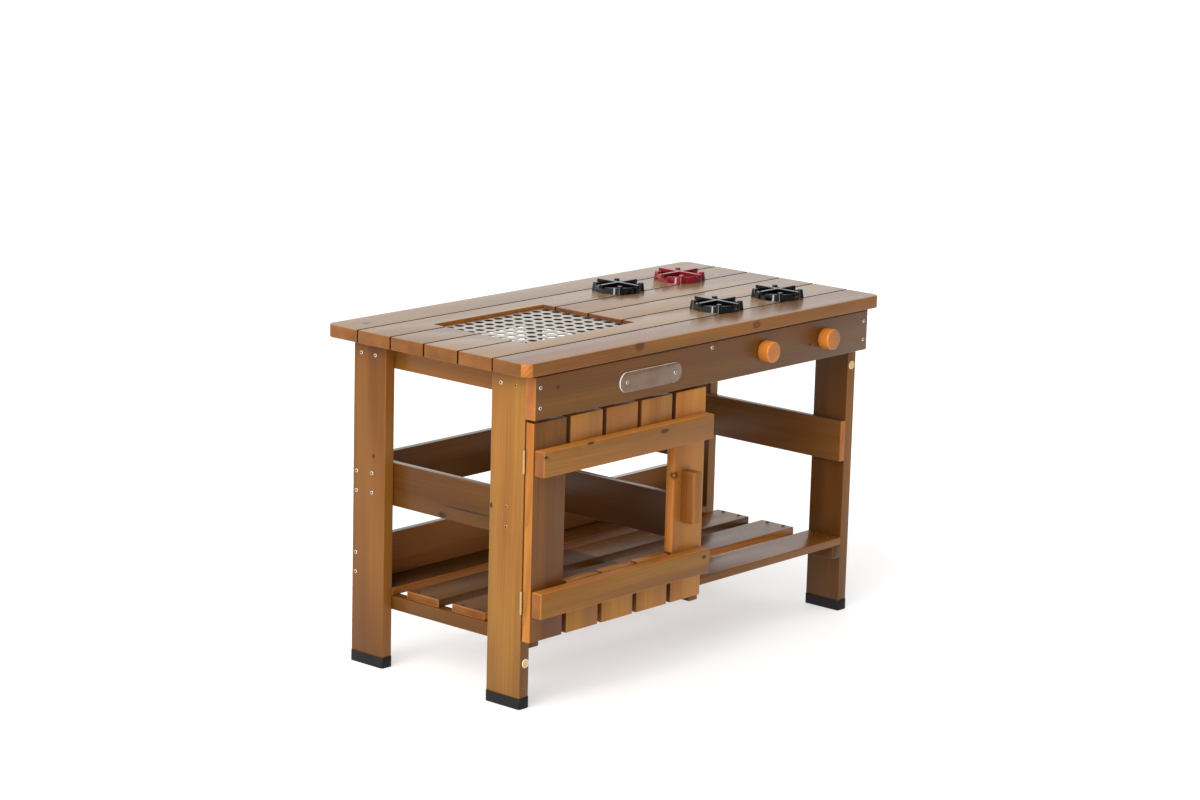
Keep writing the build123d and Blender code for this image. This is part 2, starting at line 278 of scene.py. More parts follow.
def sink_faces(piece: Object, test: Test, rim: float, move: Vector) -> None:
    """Insets the faces that pass a test and moves the inner part.

    Args:
        piece: The object.
        test: Takes a face's centre and normal.
        rim: Width of the rim that stays.
        move: The move of the inner part.
    """
    with editing(piece, Element.FACE, test):
        bpy.ops.mesh.inset(thickness=rim, depth=0)
        bpy.ops.mesh.extrude_region_move(TRANSFORM_OT_translate={"value": move})


def modify(piece: Object, kind: str, **settings: object) -> None:
    """Adds a modifier to a piece and applies it.

    Args:
        piece: The object.
        kind: The modifier's type.
        settings: Its values by property name.
    """
    select_only(piece)
    modifier = piece.modifiers.new(kind.lower(), kind)
    for key, value in settings.items():
        setattr(modifier, key, value)
    bpy.ops.object.modifier_apply(modifier=modifier.name)


def combine(piece: Object, other: Object, operation: str) -> None:
    """Makes the UNION or DIFFERENCE of a piece and a closed shape, which is used up."""
    modify(piece, "BOOLEAN", operation=operation, solver="EXACT", object=other)
    bpy.data.objects.remove(other)


def join(name: str, pieces: Sequence[Object]) -> Object:
    """Makes one object of several, each still a closed shape of its own.

    Args:
        name: The object's name.
        pieces: The objects.

    Returns:
        The joined object.
    """
    select_only(*pieces)
    if len(pieces) > 1:
        bpy.ops.object.join()
    joined = bpy.context.view_layer.objects.active
    joined.name = joined.data.name = name
    return joined


def copy_to(piece: Object, name: str, place: Matrix) -> Object:
    """A copy with its own mesh, moved and turned, with its place in its mesh.

    Args:
        piece: The object to copy.
        name: The copy's name.
        place: The move and turn.

    Returns:
        The copy.
    """
    twin = piece.copy()
    twin.data = piece.data.copy()
    bpy.context.collection.objects.link(twin)
    twin.matrix_world = place
    return settle(twin, name)


def smooth(piece: Object, degrees: float = 30.0) -> None:
    """Shades a piece smoothly, apart from edges sharper than an angle."""
    select_only(piece)
    bpy.ops.object.shade_smooth_by_angle(angle=math.radians(degrees))


def paint(piece: Object, *finishes: Material) -> None:
    """Adds finishes to a piece, the first of them on all its faces."""
    for finish in finishes:
        piece.data.materials.append(finish)


def repaint(piece: Object, number: int, test: Test) -> None:
    """Puts the finish of a number on the faces that pass a test.

    Args:
        piece: The object.
        number: The place of the finish among the piece's finishes, from zero.
        test: Takes a face's centre and normal.
    """
    for face in piece.data.polygons:
        if test(face.center, face.normal):
            face.material_index = number


def hand_over(piece: Object, body: Body, slot: str, *nodes: str) -> None:
    """Sets a finished piece on its body and hides the nodes that it stands for.

    Args:
        piece: The object.
        body: The body that it rides on.
        slot: Not used.
        nodes: The nodes that it replaces.
    """
    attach(piece, body.value)
    if nodes:
        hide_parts(*nodes)
    log.info("%s rides on %s with %d faces", piece.name, body.value, len(piece.data.polygons))


@dataclass
class Graph:
    """A node tree, with short ways to add to it."""

    tree: bpy.types.NodeTree

    @property
    def shader(self) -> Node:
        """The node that takes a material's look."""
        return self.tree.nodes["Principled BSDF"]

    def feed(self, node: Node, settings: dict[str | int, Setting]) -> None:
        """Gives a node its settings.

        Args:
            node: The node.
            settings: Values by property name, and values or sockets by the name or number of an input.
        """
        for key, value in settings.items():
            if isinstance(value, Socket):
                self.tree.links.new(value, node.inputs[key])
            elif isinstance(key, str) and hasattr(node, key):
                setattr(node, key, value)
            else:
                node.inputs[key].default_value = value

    def node(self, kind: str, settings: dict[str | int, Setting] | None = None) -> Node:
        """Adds a node.

        Args:
            kind: The node's type name after ShaderNode.
            settings: What it is fed.

        Returns:
            The node.
        """
        node = self.tree.nodes.new(f"ShaderNode{kind}")
        self.feed(node, settings or {})
        return node

    def math(self, operation: str, *values: Setting) -> Socket:
        """The result of a Math node on sockets and numbers."""
        return self.node("Math", {"operation": operation, **dict(enumerate(values))}).outputs[0]

    def vector(self, operation: str, *values: Setting) -> Outputs:
        """The outputs of a Vector Math node on sockets and vectors."""
        return self.node("VectorMath", {"operation": operation, **dict(enumerate(values))}).outputs

    def noise(self, place: Socket, detail: float, scale: float = 1.0) -> Outputs:
        """The outputs of a noise."""
        return self.node("TexNoise", {"Vector": place, "Detail": detail, "Scale": scale}).outputs

    def span(self, socket: Socket, start: float, end: float, first: float, last: float,
             ease: str = "SMOOTHSTEP") -> Socket:
        """A ramp over a part of a socket's range, from a first value to a last."""
        settings = {"interpolation_type": ease, 0: socket, 1: start, 2: end, 3: first, 4: last}
        return self.node("MapRange", settings).outputs[0]

    def mix(self, share: Setting, first: Setting, second: Setting) -> Socket:
        """Two colours mixed, by the share of the second."""
        return self.node("Mix", {"data_type": "RGBA", 0: share, 6: first, 7: second}).outputs[2]

    def shade(self, colour: Setting, value: Setting, hue: Setting = 0.5) -> Socket:
        """A colour made brighter or darker, and turned in hue where that isn't a half."""
        return self.node("HueSaturation", {"Color": colour, "Value": value, "Hue": hue}).outputs[0]

    def grey_ramp(self, socket: Socket, stops: Sequence[Range]) -> Socket:
        """Grey values along a socket's range.

        Args:
            socket: The socket.
            stops: Each stop's place and value, the first at zero and the last at one.

        Returns:
            The grey.
        """
        node = self.node("ValToRGB", {0: socket})
        elements = node.color_ramp.elements
        for place, _ in stops[1:-1]:
            elements.new(place)
        for element, (_, value) in zip(elements, stops):
            element.color = (value, value, value, 1)
        return node.outputs[0]


def new_material(name: str) -> tuple[Material, Graph]:
    """A new material and its node tree.

    Args:
        name: The material's name.

    Returns:
        The material, and the tree that it is made in.
    """
    material = bpy.data.materials.new(name)
    material.use_nodes = True
    return material, Graph(material.node_tree)


@dataclass(frozen=True)
class Knot:
    """A knot in a board: its place as for station_point, its radius in metres, how dark its heart is beside
    its rim, and its squeeze along the fibres.
    """

    spot: Triple
    radius: float
    heart: float = 1.0
    squeeze: float = 0.6


@dataclass(frozen=True)
class Fade:
    """How a board's brightness changes along its fibres: where, in shares of its length, and its ends."""

    start: float = 0.0
    end: float = 1.0
    first: float = 1.0
    last: float = 1.0


# Noises in the wood: cycles to the metre along the fibres and across them, and detail
# Fibres are finer on the real boards and are drawn about 3 mm wide, so that they show
FIGURES: dict[str, Triple] = {
    "wander": (1.4, 3.0, 1.0), "wobble": (7.0, 50.0, 2.0), "drift": (1.3, 11.0, 1.0),
    "streak": (0.8, 30.0, 2.0), "blotch": (4.0, 9.0, 2.0), "soak": (2.2, 12.0, 2.0),
    "fibre": (7.0, 330.0, 2.0)}
LATEWOOD: tuple[Range, ...] = ((0.0, 0.0), (0.45, 0.0), (0.80, 0.95), (0.94, 0.9), (1.0, 1.0))
# The part of a noise's range that most of it lies in
MOST: Range = (0.3, 0.7)
FIGURE_SHIFT = 40.0


@dataclass(frozen=True)
class StainedPine:
    """Planed pine under a brown penetrating stain and a satin varnish.

    The eye sees brown boards that shift softly between ruddy and golden along the fibres, faint darker
    latewood lines, thinner stain on the edges, lighter still on some boards as a painted highlight, and a
    soft mirror at low angles.
    """

    ruddy: str
    golden: str
    edge: str
    late: float = 0.12
    wear_and_highlight: float = 0.4
    knot: str = "#2C170A"
    rough: Range = (0.28, 0.42)
    ior: float = 1.3
    relief: float = 0.3
    relief_depth: float = 0.25 * MM
    ring: float = 6.5 * MM
    wander: float = 26 * MM
    pith: Range = (34 * MM, 85 * MM)
    lean: Range = (0.006, 0.02)
    end_shade: float = 0.9
    soak: float = 0.1
    streaks: Range = (0.89, 1.11)
    fibres: Range = (0.97, 1.03)
    board_shades: Range = (0.97, 1.09)
    brink: Range = (0.3 * MM, 3.5 * MM)

    def pith_distance(self, graph: Graph, local: Socket, along: Socket, noises: dict[str, Outputs],
                      draw: random.Random) -> Socket:
        """The distance from a pith that wanders along the board, which sets the growth rings.

        Args:
            graph: The material's tree.
            local: The place in the board's own directions.
            along: The place along the fibres.
            noises: The noises in the wood.
            draw: The source of the board's own figure.

        Returns:
            The distance.
        """
        wander = (0, self.wander, self.wander)
        bent = graph.vector("MULTIPLY_ADD", noises["wander"]["Color"], wander, local)[0]
        far = draw.uniform(*self.pith)
        turn = draw.uniform(0, 2 * math.pi)
        offset = (0, far * math.cos(turn), far * math.sin(turn))
        across = graph.vector("MULTIPLY", graph.vector("ADD", bent, offset)[0], (0, 1, 1))[0]
        lean = draw.choice((-1, 1)) * draw.uniform(*self.lean)
        reach = graph.math("MULTIPLY_ADD", along, lean, graph.vector("LENGTH", across)["Value"])
        return graph.math("MULTIPLY_ADD", noises["wobble"]["Fac"], 0.45 * self.ring, reach)

    def brink_distance(self, graph: Graph, half: Sequence[float], along: Outputs) -> Socket:
        """The distance to the second nearest side of a board, which is small at its edges.

        Args:
            graph: The material's tree.
            half: Half the board's sizes, in its own directions.
            along: The place in each of those directions.

        Returns:
            The distance.
        """
        gaps = [graph.math("SUBTRACT", size, graph.math("ABSOLUTE", place))
                for size, place in zip(half, along)]
        nearer = graph.math("MINIMUM", gaps[0], gaps[1])
        further = graph.math("MAXIMUM", gaps[0], gaps[1])
        return graph.math("MAXIMUM", nearer, graph.math("MINIMUM", further, gaps[2]))

    def material(self, name: str, grain: Axis, low: Vector, high: Vector, knots: Sequence[Knot] = (),
                 fade: Fade = Fade()) -> Material:
        """The finish on one board.

        Args:
            name: The material's name, which also seeds the board's own figure.
            grain: The direction of the fibres.
            low: The board's lowest corner.
            high: The board's highest corner.
            knots: Knots that show on the board.
            fade: The change of brightness along the board.

        Returns:
            The material.
        """
        draw = random.Random(name)
        material, graph = new_material(name)
        middle = (low + high) / 2
        coords = graph.node("TexCoord").outputs
        local = graph.node("Mapping", {"vector_type": "TEXTURE", "Location": middle, "Rotation": grain.turn,
                                       "Vector": coords["Object"]}).outputs[0]
        along = graph.node("SeparateXYZ", {0: local}).outputs
        shift = [draw.uniform(-FIGURE_SHIFT, FIGURE_SHIFT) for _ in range(3)]
        noises = {}
        for key, (length, width, detail) in FIGURES.items():
            scale = (length, width, width)
            spread = graph.node("Mapping", {"Location": shift, "Scale": scale, "Vector": local})
            noises[key] = graph.noise(spread.outputs[0], detail)
        drift, streak, blotch, fibre = (noises[key]["Fac"] for key in ("drift", "streak", "blotch", "fibre"))
        reach = self.pith_distance(graph, local, along[0], noises, draw)

        # Knots: the rings swell round each of them
        dark = 0.0
        for knot in knots:
            apart = graph.vector("SUBTRACT", local, grain.own(station_point(*knot.spot) - middle))[0]
            away = graph.vector("LENGTH", graph.vector("MULTIPLY", apart, (knot.squeeze, 1, 1))[0])["Value"]
            reach = graph.math("ADD", reach, graph.span(away, 0.0, 4 * knot.radius, knot.radius, 0.0))
            ragged = graph.math("MULTIPLY_ADD", noises["wobble"]["Fac"], 0.5 * knot.radius, away)
            core = graph.span(ragged, 0.6 * knot.radius, 1.5 * knot.radius, 1.0, 0.0)
            heart = graph.span(ragged, 0.35 * knot.radius, 0.9 * knot.radius, knot.heart, 1.0)
            dark = graph.math("MAXIMUM", dark, graph.math("MULTIPLY", core, heart))

        # Colour: a drift between two tones, patches of soaked stain, latewood lines, streaks and fibres
        late = graph.grey_ramp(graph.math("FRACT", graph.math("DIVIDE", reach, self.ring)), LATEWOOD)
        wood = graph.mix(graph.span(drift, 0.36, 0.64, 0.0, 1.0), linear(self.ruddy), linear(self.golden))
        soak = graph.node("SeparateColor", {0: noises["soak"]["Color"]}).outputs
        hue = graph.span(soak[0], *MOST, 0.5, 0.5 + 0.07 * self.soak)
        wood = graph.shade(wood, graph.span(soak[1], *MOST, 1 - self.soak, 1 + self.soak), hue)
        line = graph.math("MULTIPLY", late, graph.span(blotch, *MOST, 0.3, 1.0))
        line = graph.math("MULTIPLY_ADD", line, -self.late, draw.uniform(*self.board_shades))
        streaks = graph.span(streak, *MOST, *self.streaks)
        tone = graph.math("MULTIPLY", streaks, graph.span(fibre, *MOST, *self.fibres))
        wood = graph.shade(wood, graph.math("MULTIPLY", tone, line))

        # Rounded edges wear, on some boards lighter as a painted highlight, end grain drinks more stain,
        # and a fade changes the brightness along some boards, as painted shade on the legs
        half = [abs(value) for value in grain.own((high - low) / 2)]
        wear_and_highlight = graph.span(self.brink_distance(graph, half, along), *self.brink, self.wear_and_highlight, 0.0)
        wear_and_highlight = graph.math("MULTIPLY", wear_and_highlight, graph.span(blotch, 0.35, 0.65, 0.3, 1.0))
        wood = graph.mix(wear_and_highlight, wood, linear(self.edge))
        facing = graph.vector("DOT_PRODUCT", coords["Normal"], grain.vector)["Value"]
        cut = graph.span(graph.math("ABSOLUTE", facing), 0.7, 0.95, 1.0, self.end_shade)
        ends = [(2 * share - 1) * half[0] for share in (fade.start, fade.end)]
        fading = graph.span(along[0], *ends, fade.first, fade.last)
        wood = graph.shade(wood, graph.math("MULTIPLY", cut, fading))
        if knots:
            wood = graph.mix(dark, wood, linear(self.knot))

        height = graph.math("MULTIPLY_ADD", fibre, 0.5, graph.math("MULTIPLY", late, 0.4))
        bump = graph.node("Bump", {"Strength": self.relief, "Distance": self.relief_depth, "Height": height})
        gloss = graph.span(streak, 0.25, 0.75, *self.rough)
        graph.feed(graph.shader, {"Base Color": wood, "Roughness": gloss, "Normal": bump.outputs[0],
                                  "IOR": self.ior})
        return material


WORKTOP = {"rough": (0.24, 0.33), "ior": 1.57, "wear_and_highlight": 0.2, "relief": 0.06, "late": 0.15, "soak": 0.05,
           "knot": "#4A3018"}
MIRROR = {"relief": 0.03, "late": 0.05, "wear_and_highlight": 0.0}
TURNED = {"rough": (0.26, 0.36), "ring": 5 * MM, "pith": (4 * MM, 12 * MM), "ior": 1.4, "end_shade": 0.78,
          "soak": 0.02}


class Stain(Enum):
    """The stain's tones on different boards and sides, among them lit and shaded copies and a painted sheen.
    """

    TOP = StainedPine("#7A5C42", "#83684C", "#8E5C2C", **WORKTOP)
    TOP_FRONT = StainedPine("#6E4826", "#76502E", "#8E5C2C", **WORKTOP)
    TOP_EDGE = StainedPine("#7C4818", "#8C561E", "#A8602A", late=0.16, soak=0.14, knot="#4A2A12")
    SIDE = StainedPine("#72441A", "#7C4C21", "#A8602A", late=0.16)
    APRON = StainedPine("#683F19", "#6C431B", "#8E5426", late=0.12)
    BROWN = StainedPine("#683E15", "#70461C", "#96581F")
    GOLD = StainedPine("#814F1D", "#8D5D26", "#A8662A")
    AMBER = StainedPine("#774B1D", "#835428", "#A8662A")
    # Painted shade: the left faces of the right-hand legs, under the worktop
    DEEP = StainedPine("#5C3615", "#663F1A", "#7A4A20")
    DARK = StainedPine("#502D0B", "#573310", "#7A4A20")
    RAIL = StainedPine("#68401A", "#70441F", "#8E5426")
    # Painted light: a paler copy of the rail tone, for the lit front of the lower back rail
    PALE_RAIL = StainedPine("#965E31", "#A06638", "#A86C3C")
    PARTITION = StainedPine("#44240A", "#4B2A0E", "#6A4018")
    SHELF = StainedPine("#754410", "#7F4C16", "#9A5A28", rough=(0.26, 0.36), ior=1.28, relief=0.03)
    # Painted shade: the shelf slats' tops in the left bay, behind the door
    SHELF_DIM = StainedPine("#4C2D10", "#543415", "#6A4018", rough=(0.3, 0.4), ior=1.2, relief=0.03)
    SHELF_END = StainedPine("#703B10", "#7C4616", "#B8743C", wear_and_highlight=0.8)
    STILE = StainedPine("#6B4017", "#77481F", "#9A5A28")
    TAN = StainedPine("#A2632A", "#AE6F31", "#BC7C3A")
    HONEY = StainedPine("#98622E", "#A26B34", "#B87838")
    LOWER = StainedPine("#966026", "#A06724", "#B87838")
    # On the battens and handle the pale worn edges also paint a highlight along the rounded arrises
    BATTEN = StainedPine("#8A5822", "#946229", "#B8702C", wear_and_highlight=0.6)
    BATTEN_LOW = StainedPine("#7C4D1B", "#86571F", "#B8702C", wear_and_highlight=0.6)
    BATTEN_END = StainedPine("#804B1F", "#8A5425", "#C87A38", wear_and_highlight=0.9)
    HANDLE = StainedPine("#7C481D", "#865022", "#C07A34")
    THIN = StainedPine("#9A591D", "#A46325", "#C47C34", late=0.3)
    ORANGE = StainedPine("#AE682B", "#B87234", "#C88444", late=0.3)
    APRON_END = StainedPine("#945727", "#9C602C", "#B87838", late=0.08)
    # Painted shade: a dark tone with hardly any gloss, for the shadow under the worktop's overhang and in the
    # gaps between worktop boards
    GAP = StainedPine("#38200D", "#402610", "#4A2E14", wear_and_highlight=0.0, ior=1.12)
    # Painted shade: the left sides of the door's boards and right stile, dark in their narrow gaps
    CLEFT = StainedPine("#5C3514", "#663D1A", "#7A4A20")
    LIT = StainedPine("#8E561E", "#965E26", "#A8662A")
    # Painted sheen: pale, glossy tones for the top faces of rails and partition boards, which catch the light
    # at a low angle
    SHEEN_DIM = StainedPine("#604A36", "#6A5440", "#705A46", rough=(0.2, 0.3), ior=1.45, **MIRROR)
    SHEEN = StainedPine("#7C6C5A", "#867664", "#8E7E6A", rough=(0.12, 0.2), ior=1.6, **MIRROR)
    CUT = StainedPine("#A65C1C", "#B06A24", "#C07028", rough=(0.45, 0.6))
    CUT_END = StainedPine("#5E3418", "#6A3E1E", "#7A4A24", rough=(0.45, 0.6))
    KNOB = StainedPine("#CE7C32", "#D6883A", "#DC8E40", **TURNED)
    KNOB_DARK = StainedPine("#BA6C2A", "#C27632", "#C87C38", **TURNED)


class Make(Enum):
    """What a skin is of: the detail of its grain, its patches to the metre, their shades and its relief."""

    METAL = (3.0, 22.0, (0.86, 1.06), 0.15)
    PLASTIC = (2.0, 35.0, (0.85, 1.15), 0.4)


@dataclass(frozen=True)
class Skin:
    """A skin of metal or moulded plastic: one colour in faint patches, with the grain that its making left.

    Metal is duller or brighter along its grain, and plastic by its flow marks.
    """

    name: str
    make: Make
    colour: str
    rough: Range
    grain: float
    depth: float = 0.05 * MM
    shine: float = 0.5
    stretch: Triple = (1.0, 1.0, 1.0)

    def material(self) -> Material:
        """The finish, made anew."""
        detail, patches, shades, relief = self.make.value
        is_metal = self.make is Make.METAL
        material, graph = new_material(self.name)
        place = graph.node("TexCoord").outputs["Object"]
        scale = [value / self.grain for value in self.stretch]
        spread = graph.node("Mapping", {"Scale": scale, "Vector": place})
        grain = graph.noise(spread.outputs[0], detail)["Fac"]
        patch = graph.noise(place, 2.0, patches)["Fac"]
        gloss = graph.span(grain if is_metal else patch, *MOST, *self.rough, "LINEAR")
        colour = graph.shade(linear(self.colour), graph.span(patch, *MOST, *shades, "LINEAR"))
        bump = graph.node("Bump", {"Strength": relief, "Distance": self.depth, "Height": grain})
        graph.feed(graph.shader, {"Base Color": colour, "Roughness": gloss, "Normal": bump.outputs[0],
                                  "Metallic": float(is_metal), "Specular IOR Level": self.shine})
        return material


GRILL_STEEL = Skin("perforated_stainless_sheet", Make.METAL, "#B2A797", (0.16, 0.30), 3 * MM,
                   stretch=(0.1, 1.0, 1.0))
# Painted shade: dark, dull steel on the sheet's underside and folded sides
GRILL_SHADE = Skin("smoked_inside_of_sheet", Make.METAL, "#2E2924", (0.55, 0.7), 3 * MM)
HINGE_ZINC = Skin("yellow_zinc_hinge_steel", Make.METAL, "#BFA37E", (0.28, 0.45), 1.5 * MM)
SCREW_ZINC = Skin("zinc_plated_screw", Make.METAL, "#D8D3CA", (0.25, 0.4), 0.8 * MM)
SCREW_BROWN = Skin("bronzed_screw", Make.METAL, "#5A4632", (0.35, 0.5), 0.8 * MM)
SCREW_STAINED = Skin("stained_over_screw", Make.METAL, "#AE9062", (0.35, 0.5), 0.8 * MM)
BOLT_STEEL = Skin("plated_bolt_steel", Make.METAL, "#B9B6B0", (0.25, 0.4), 1.0 * MM)
# Painted shade for the inside of the screw sockets
RECESS_SHADE = Skin("shadowed_screw_recess", Make.PLASTIC, "#17120E", (0.6, 0.7), 1 * MM, 0.01 * MM)
BLACK_ABS = Skin("gloss_black_abs", Make.PLASTIC, "#08090B", (0.06, 0.12), 4 * MM, 0.01 * MM, 0.42)
RED_ABS = Skin("gloss_red_abs", Make.PLASTIC, "#740F1B", (0.06, 0.12), 4 * MM, 0.01 * MM, 0.42)
FOOT_PE = Skin("grained_black_polyethylene", Make.PLASTIC, "#1A191A", (0.42, 0.58), 0.7 * MM, 0.12 * MM, 0.15)
DISC_PE = Skin("cream_polyethylene", Make.PLASTIC, "#F0DDB8", (0.35, 0.45), 1.2 * MM, 0.03 * MM)
DISC_TAN = Skin("tan_polyethylene", Make.PLASTIC, "#D2B684", (0.4, 0.5), 1.2 * MM, 0.02 * MM)
PLATE_FACE = Skin("smoked_acrylic", Make.PLASTIC, "#755B48", (0.10, 0.18), 6 * MM, 0.01 * MM)
# Frosted acrylic edges, painted near white also as a glow for the light that the acrylic carries to them
PLATE_RIM_GLOW = Skin("frosted_acrylic_edge", Make.PLASTIC, "#F4F0EC", (0.3, 0.45), 1.5 * MM, 0.03 * MM)

# Stains by the start of a node's name, the longer names first
STAINS: dict[str, Stain] = {
    "top_slat_1": Stain.TOP_FRONT, "top_slat": Stain.TOP, "front_apron": Stain.APRON,
    "leg_front_left": Stain.GOLD, "leg_front_right": Stain.AMBER, "leg_back_right": Stain.GOLD,
    "leg": Stain.BROWN, "cross_rail_left": Stain.AMBER, "cross_rail": Stain.BROWN,
    "side_rail_left": Stain.DARK, "side_rail_right": Stain.RAIL, "back_rail": Stain.RAIL,
    "partition": Stain.PARTITION,
    "door_stop": Stain.BROWN, "grill_cleat": Stain.DARK, "bearer": Stain.DARK, "shelf_slat": Stain.SHELF,
    "door_stile_left": Stain.STILE, "door_stile_right": Stain.TAN, "door_upper": Stain.HONEY,
    "door_lower": Stain.LOWER, "door_batten_top": Stain.BATTEN,
    "door_batten_bottom": Stain.BATTEN_LOW, "door_handle": Stain.BATTEN}
# Tones of faces looking left. Painted shade among them: the inner faces of the right-hand legs under the
# worktop, and the left sides of the door's boards and right stile in their narrow gaps
LEFT_SIDES: dict[str, Stain] = {
    "front_apron": Stain.APRON_END, "leg_front_right": Stain.DEEP, "leg_back_right": Stain.DEEP,
    "shelf_slat": Stain.SHELF_END, "door_stile_left": Stain.THIN, "door_stile_right": Stain.CLEFT,
    "door_upper": Stain.CLEFT, "door_lower": Stain.CLEFT, "door_batten": Stain.BATTEN_END,
    "door_handle": Stain.HANDLE}
# Tones of faces looking to the front. Painted light among them: the lit fronts of the back left leg, the
# lower back rail and the middle bearer
FRONT_SIDES: dict[str, Stain] = {
    "leg_back_left": Stain.LIT, "leg_back_right": Stain.HONEY, "leg_front_left": Stain.AMBER,
    "back_rail_lower": Stain.PALE_RAIL, "bearer_middle": Stain.SHELF_END, "shelf_slat_2": Stain.ORANGE,
    "shelf_slat_3": Stain.DARK, "shelf_slat_4": Stain.SHELF_END, "side_rail_right": Stain.ORANGE}
# Tones of faces looking up. The tops of the rails and partition boards carry a painted sheen
UPPER_SIDES: dict[str, Stain] = {
    "back_rail": Stain.SHEEN, "side_rail": Stain.SHEEN_DIM, "partition_lower": Stain.SHEEN,
    "partition_upper": Stain.SHEEN, "door_lower": Stain.ORANGE, "door_batten": Stain.TAN}
# Painted shade: the legs darker over their lowest two fifths, towards the floor. The apron is lighter at its
# left end and darker at its right
FADES: dict[str, Fade] = {"leg": Fade(0.0, 0.4, 0.72, 1.0), "front_apron": Fade(0.0, 1.0, 1.13, 0.87)}
KNOTS: dict[str, list[Knot]] = {
    "front_apron": [Knot((104, 9, 682), 5 * MM, 0.4, 0.9), Knot((942, 9, 659), 4 * MM)],
    "door_batten_top": [Knot((183, -16, 557), 4.5 * MM, 0.7, 0.4), Knot((419, -16, 546), 6 * MM, 0.8, 0.35),
                        Knot((46, -16, 547), 4 * MM)],
    "door_stile_right": [Knot((489, 13, 432), 13 * MM, 0.15, 1.5)],
    "side_rail_left": [Knot((65, 295, 365), 8 * MM), Knot((65, 221, 387.6), 2.4 * MM, 1.0, 0.03)],
    "leg_back_left": [Knot((37, 473, 466), 4 * MM)],
    "top_slat_6": [Knot((68, 530, 743), 8 * MM)],
    "top_slat_1": [Knot((347, 4, 736), 11 * MM, 0.5), Knot((738, 2, 732), 9 * MM, 0.5)],
    "door_batten_bottom": [Knot((564, -16, 243), 5 * MM)],
    "leg_front_left": [Knot((37, 127, 423), 4 * MM)]}
SOFT_BOARDS = ("door_batten", "door_handle")
UPRIGHT_BOARDS = ("door_upper_board", "door_lower_board", "partition_cleats")


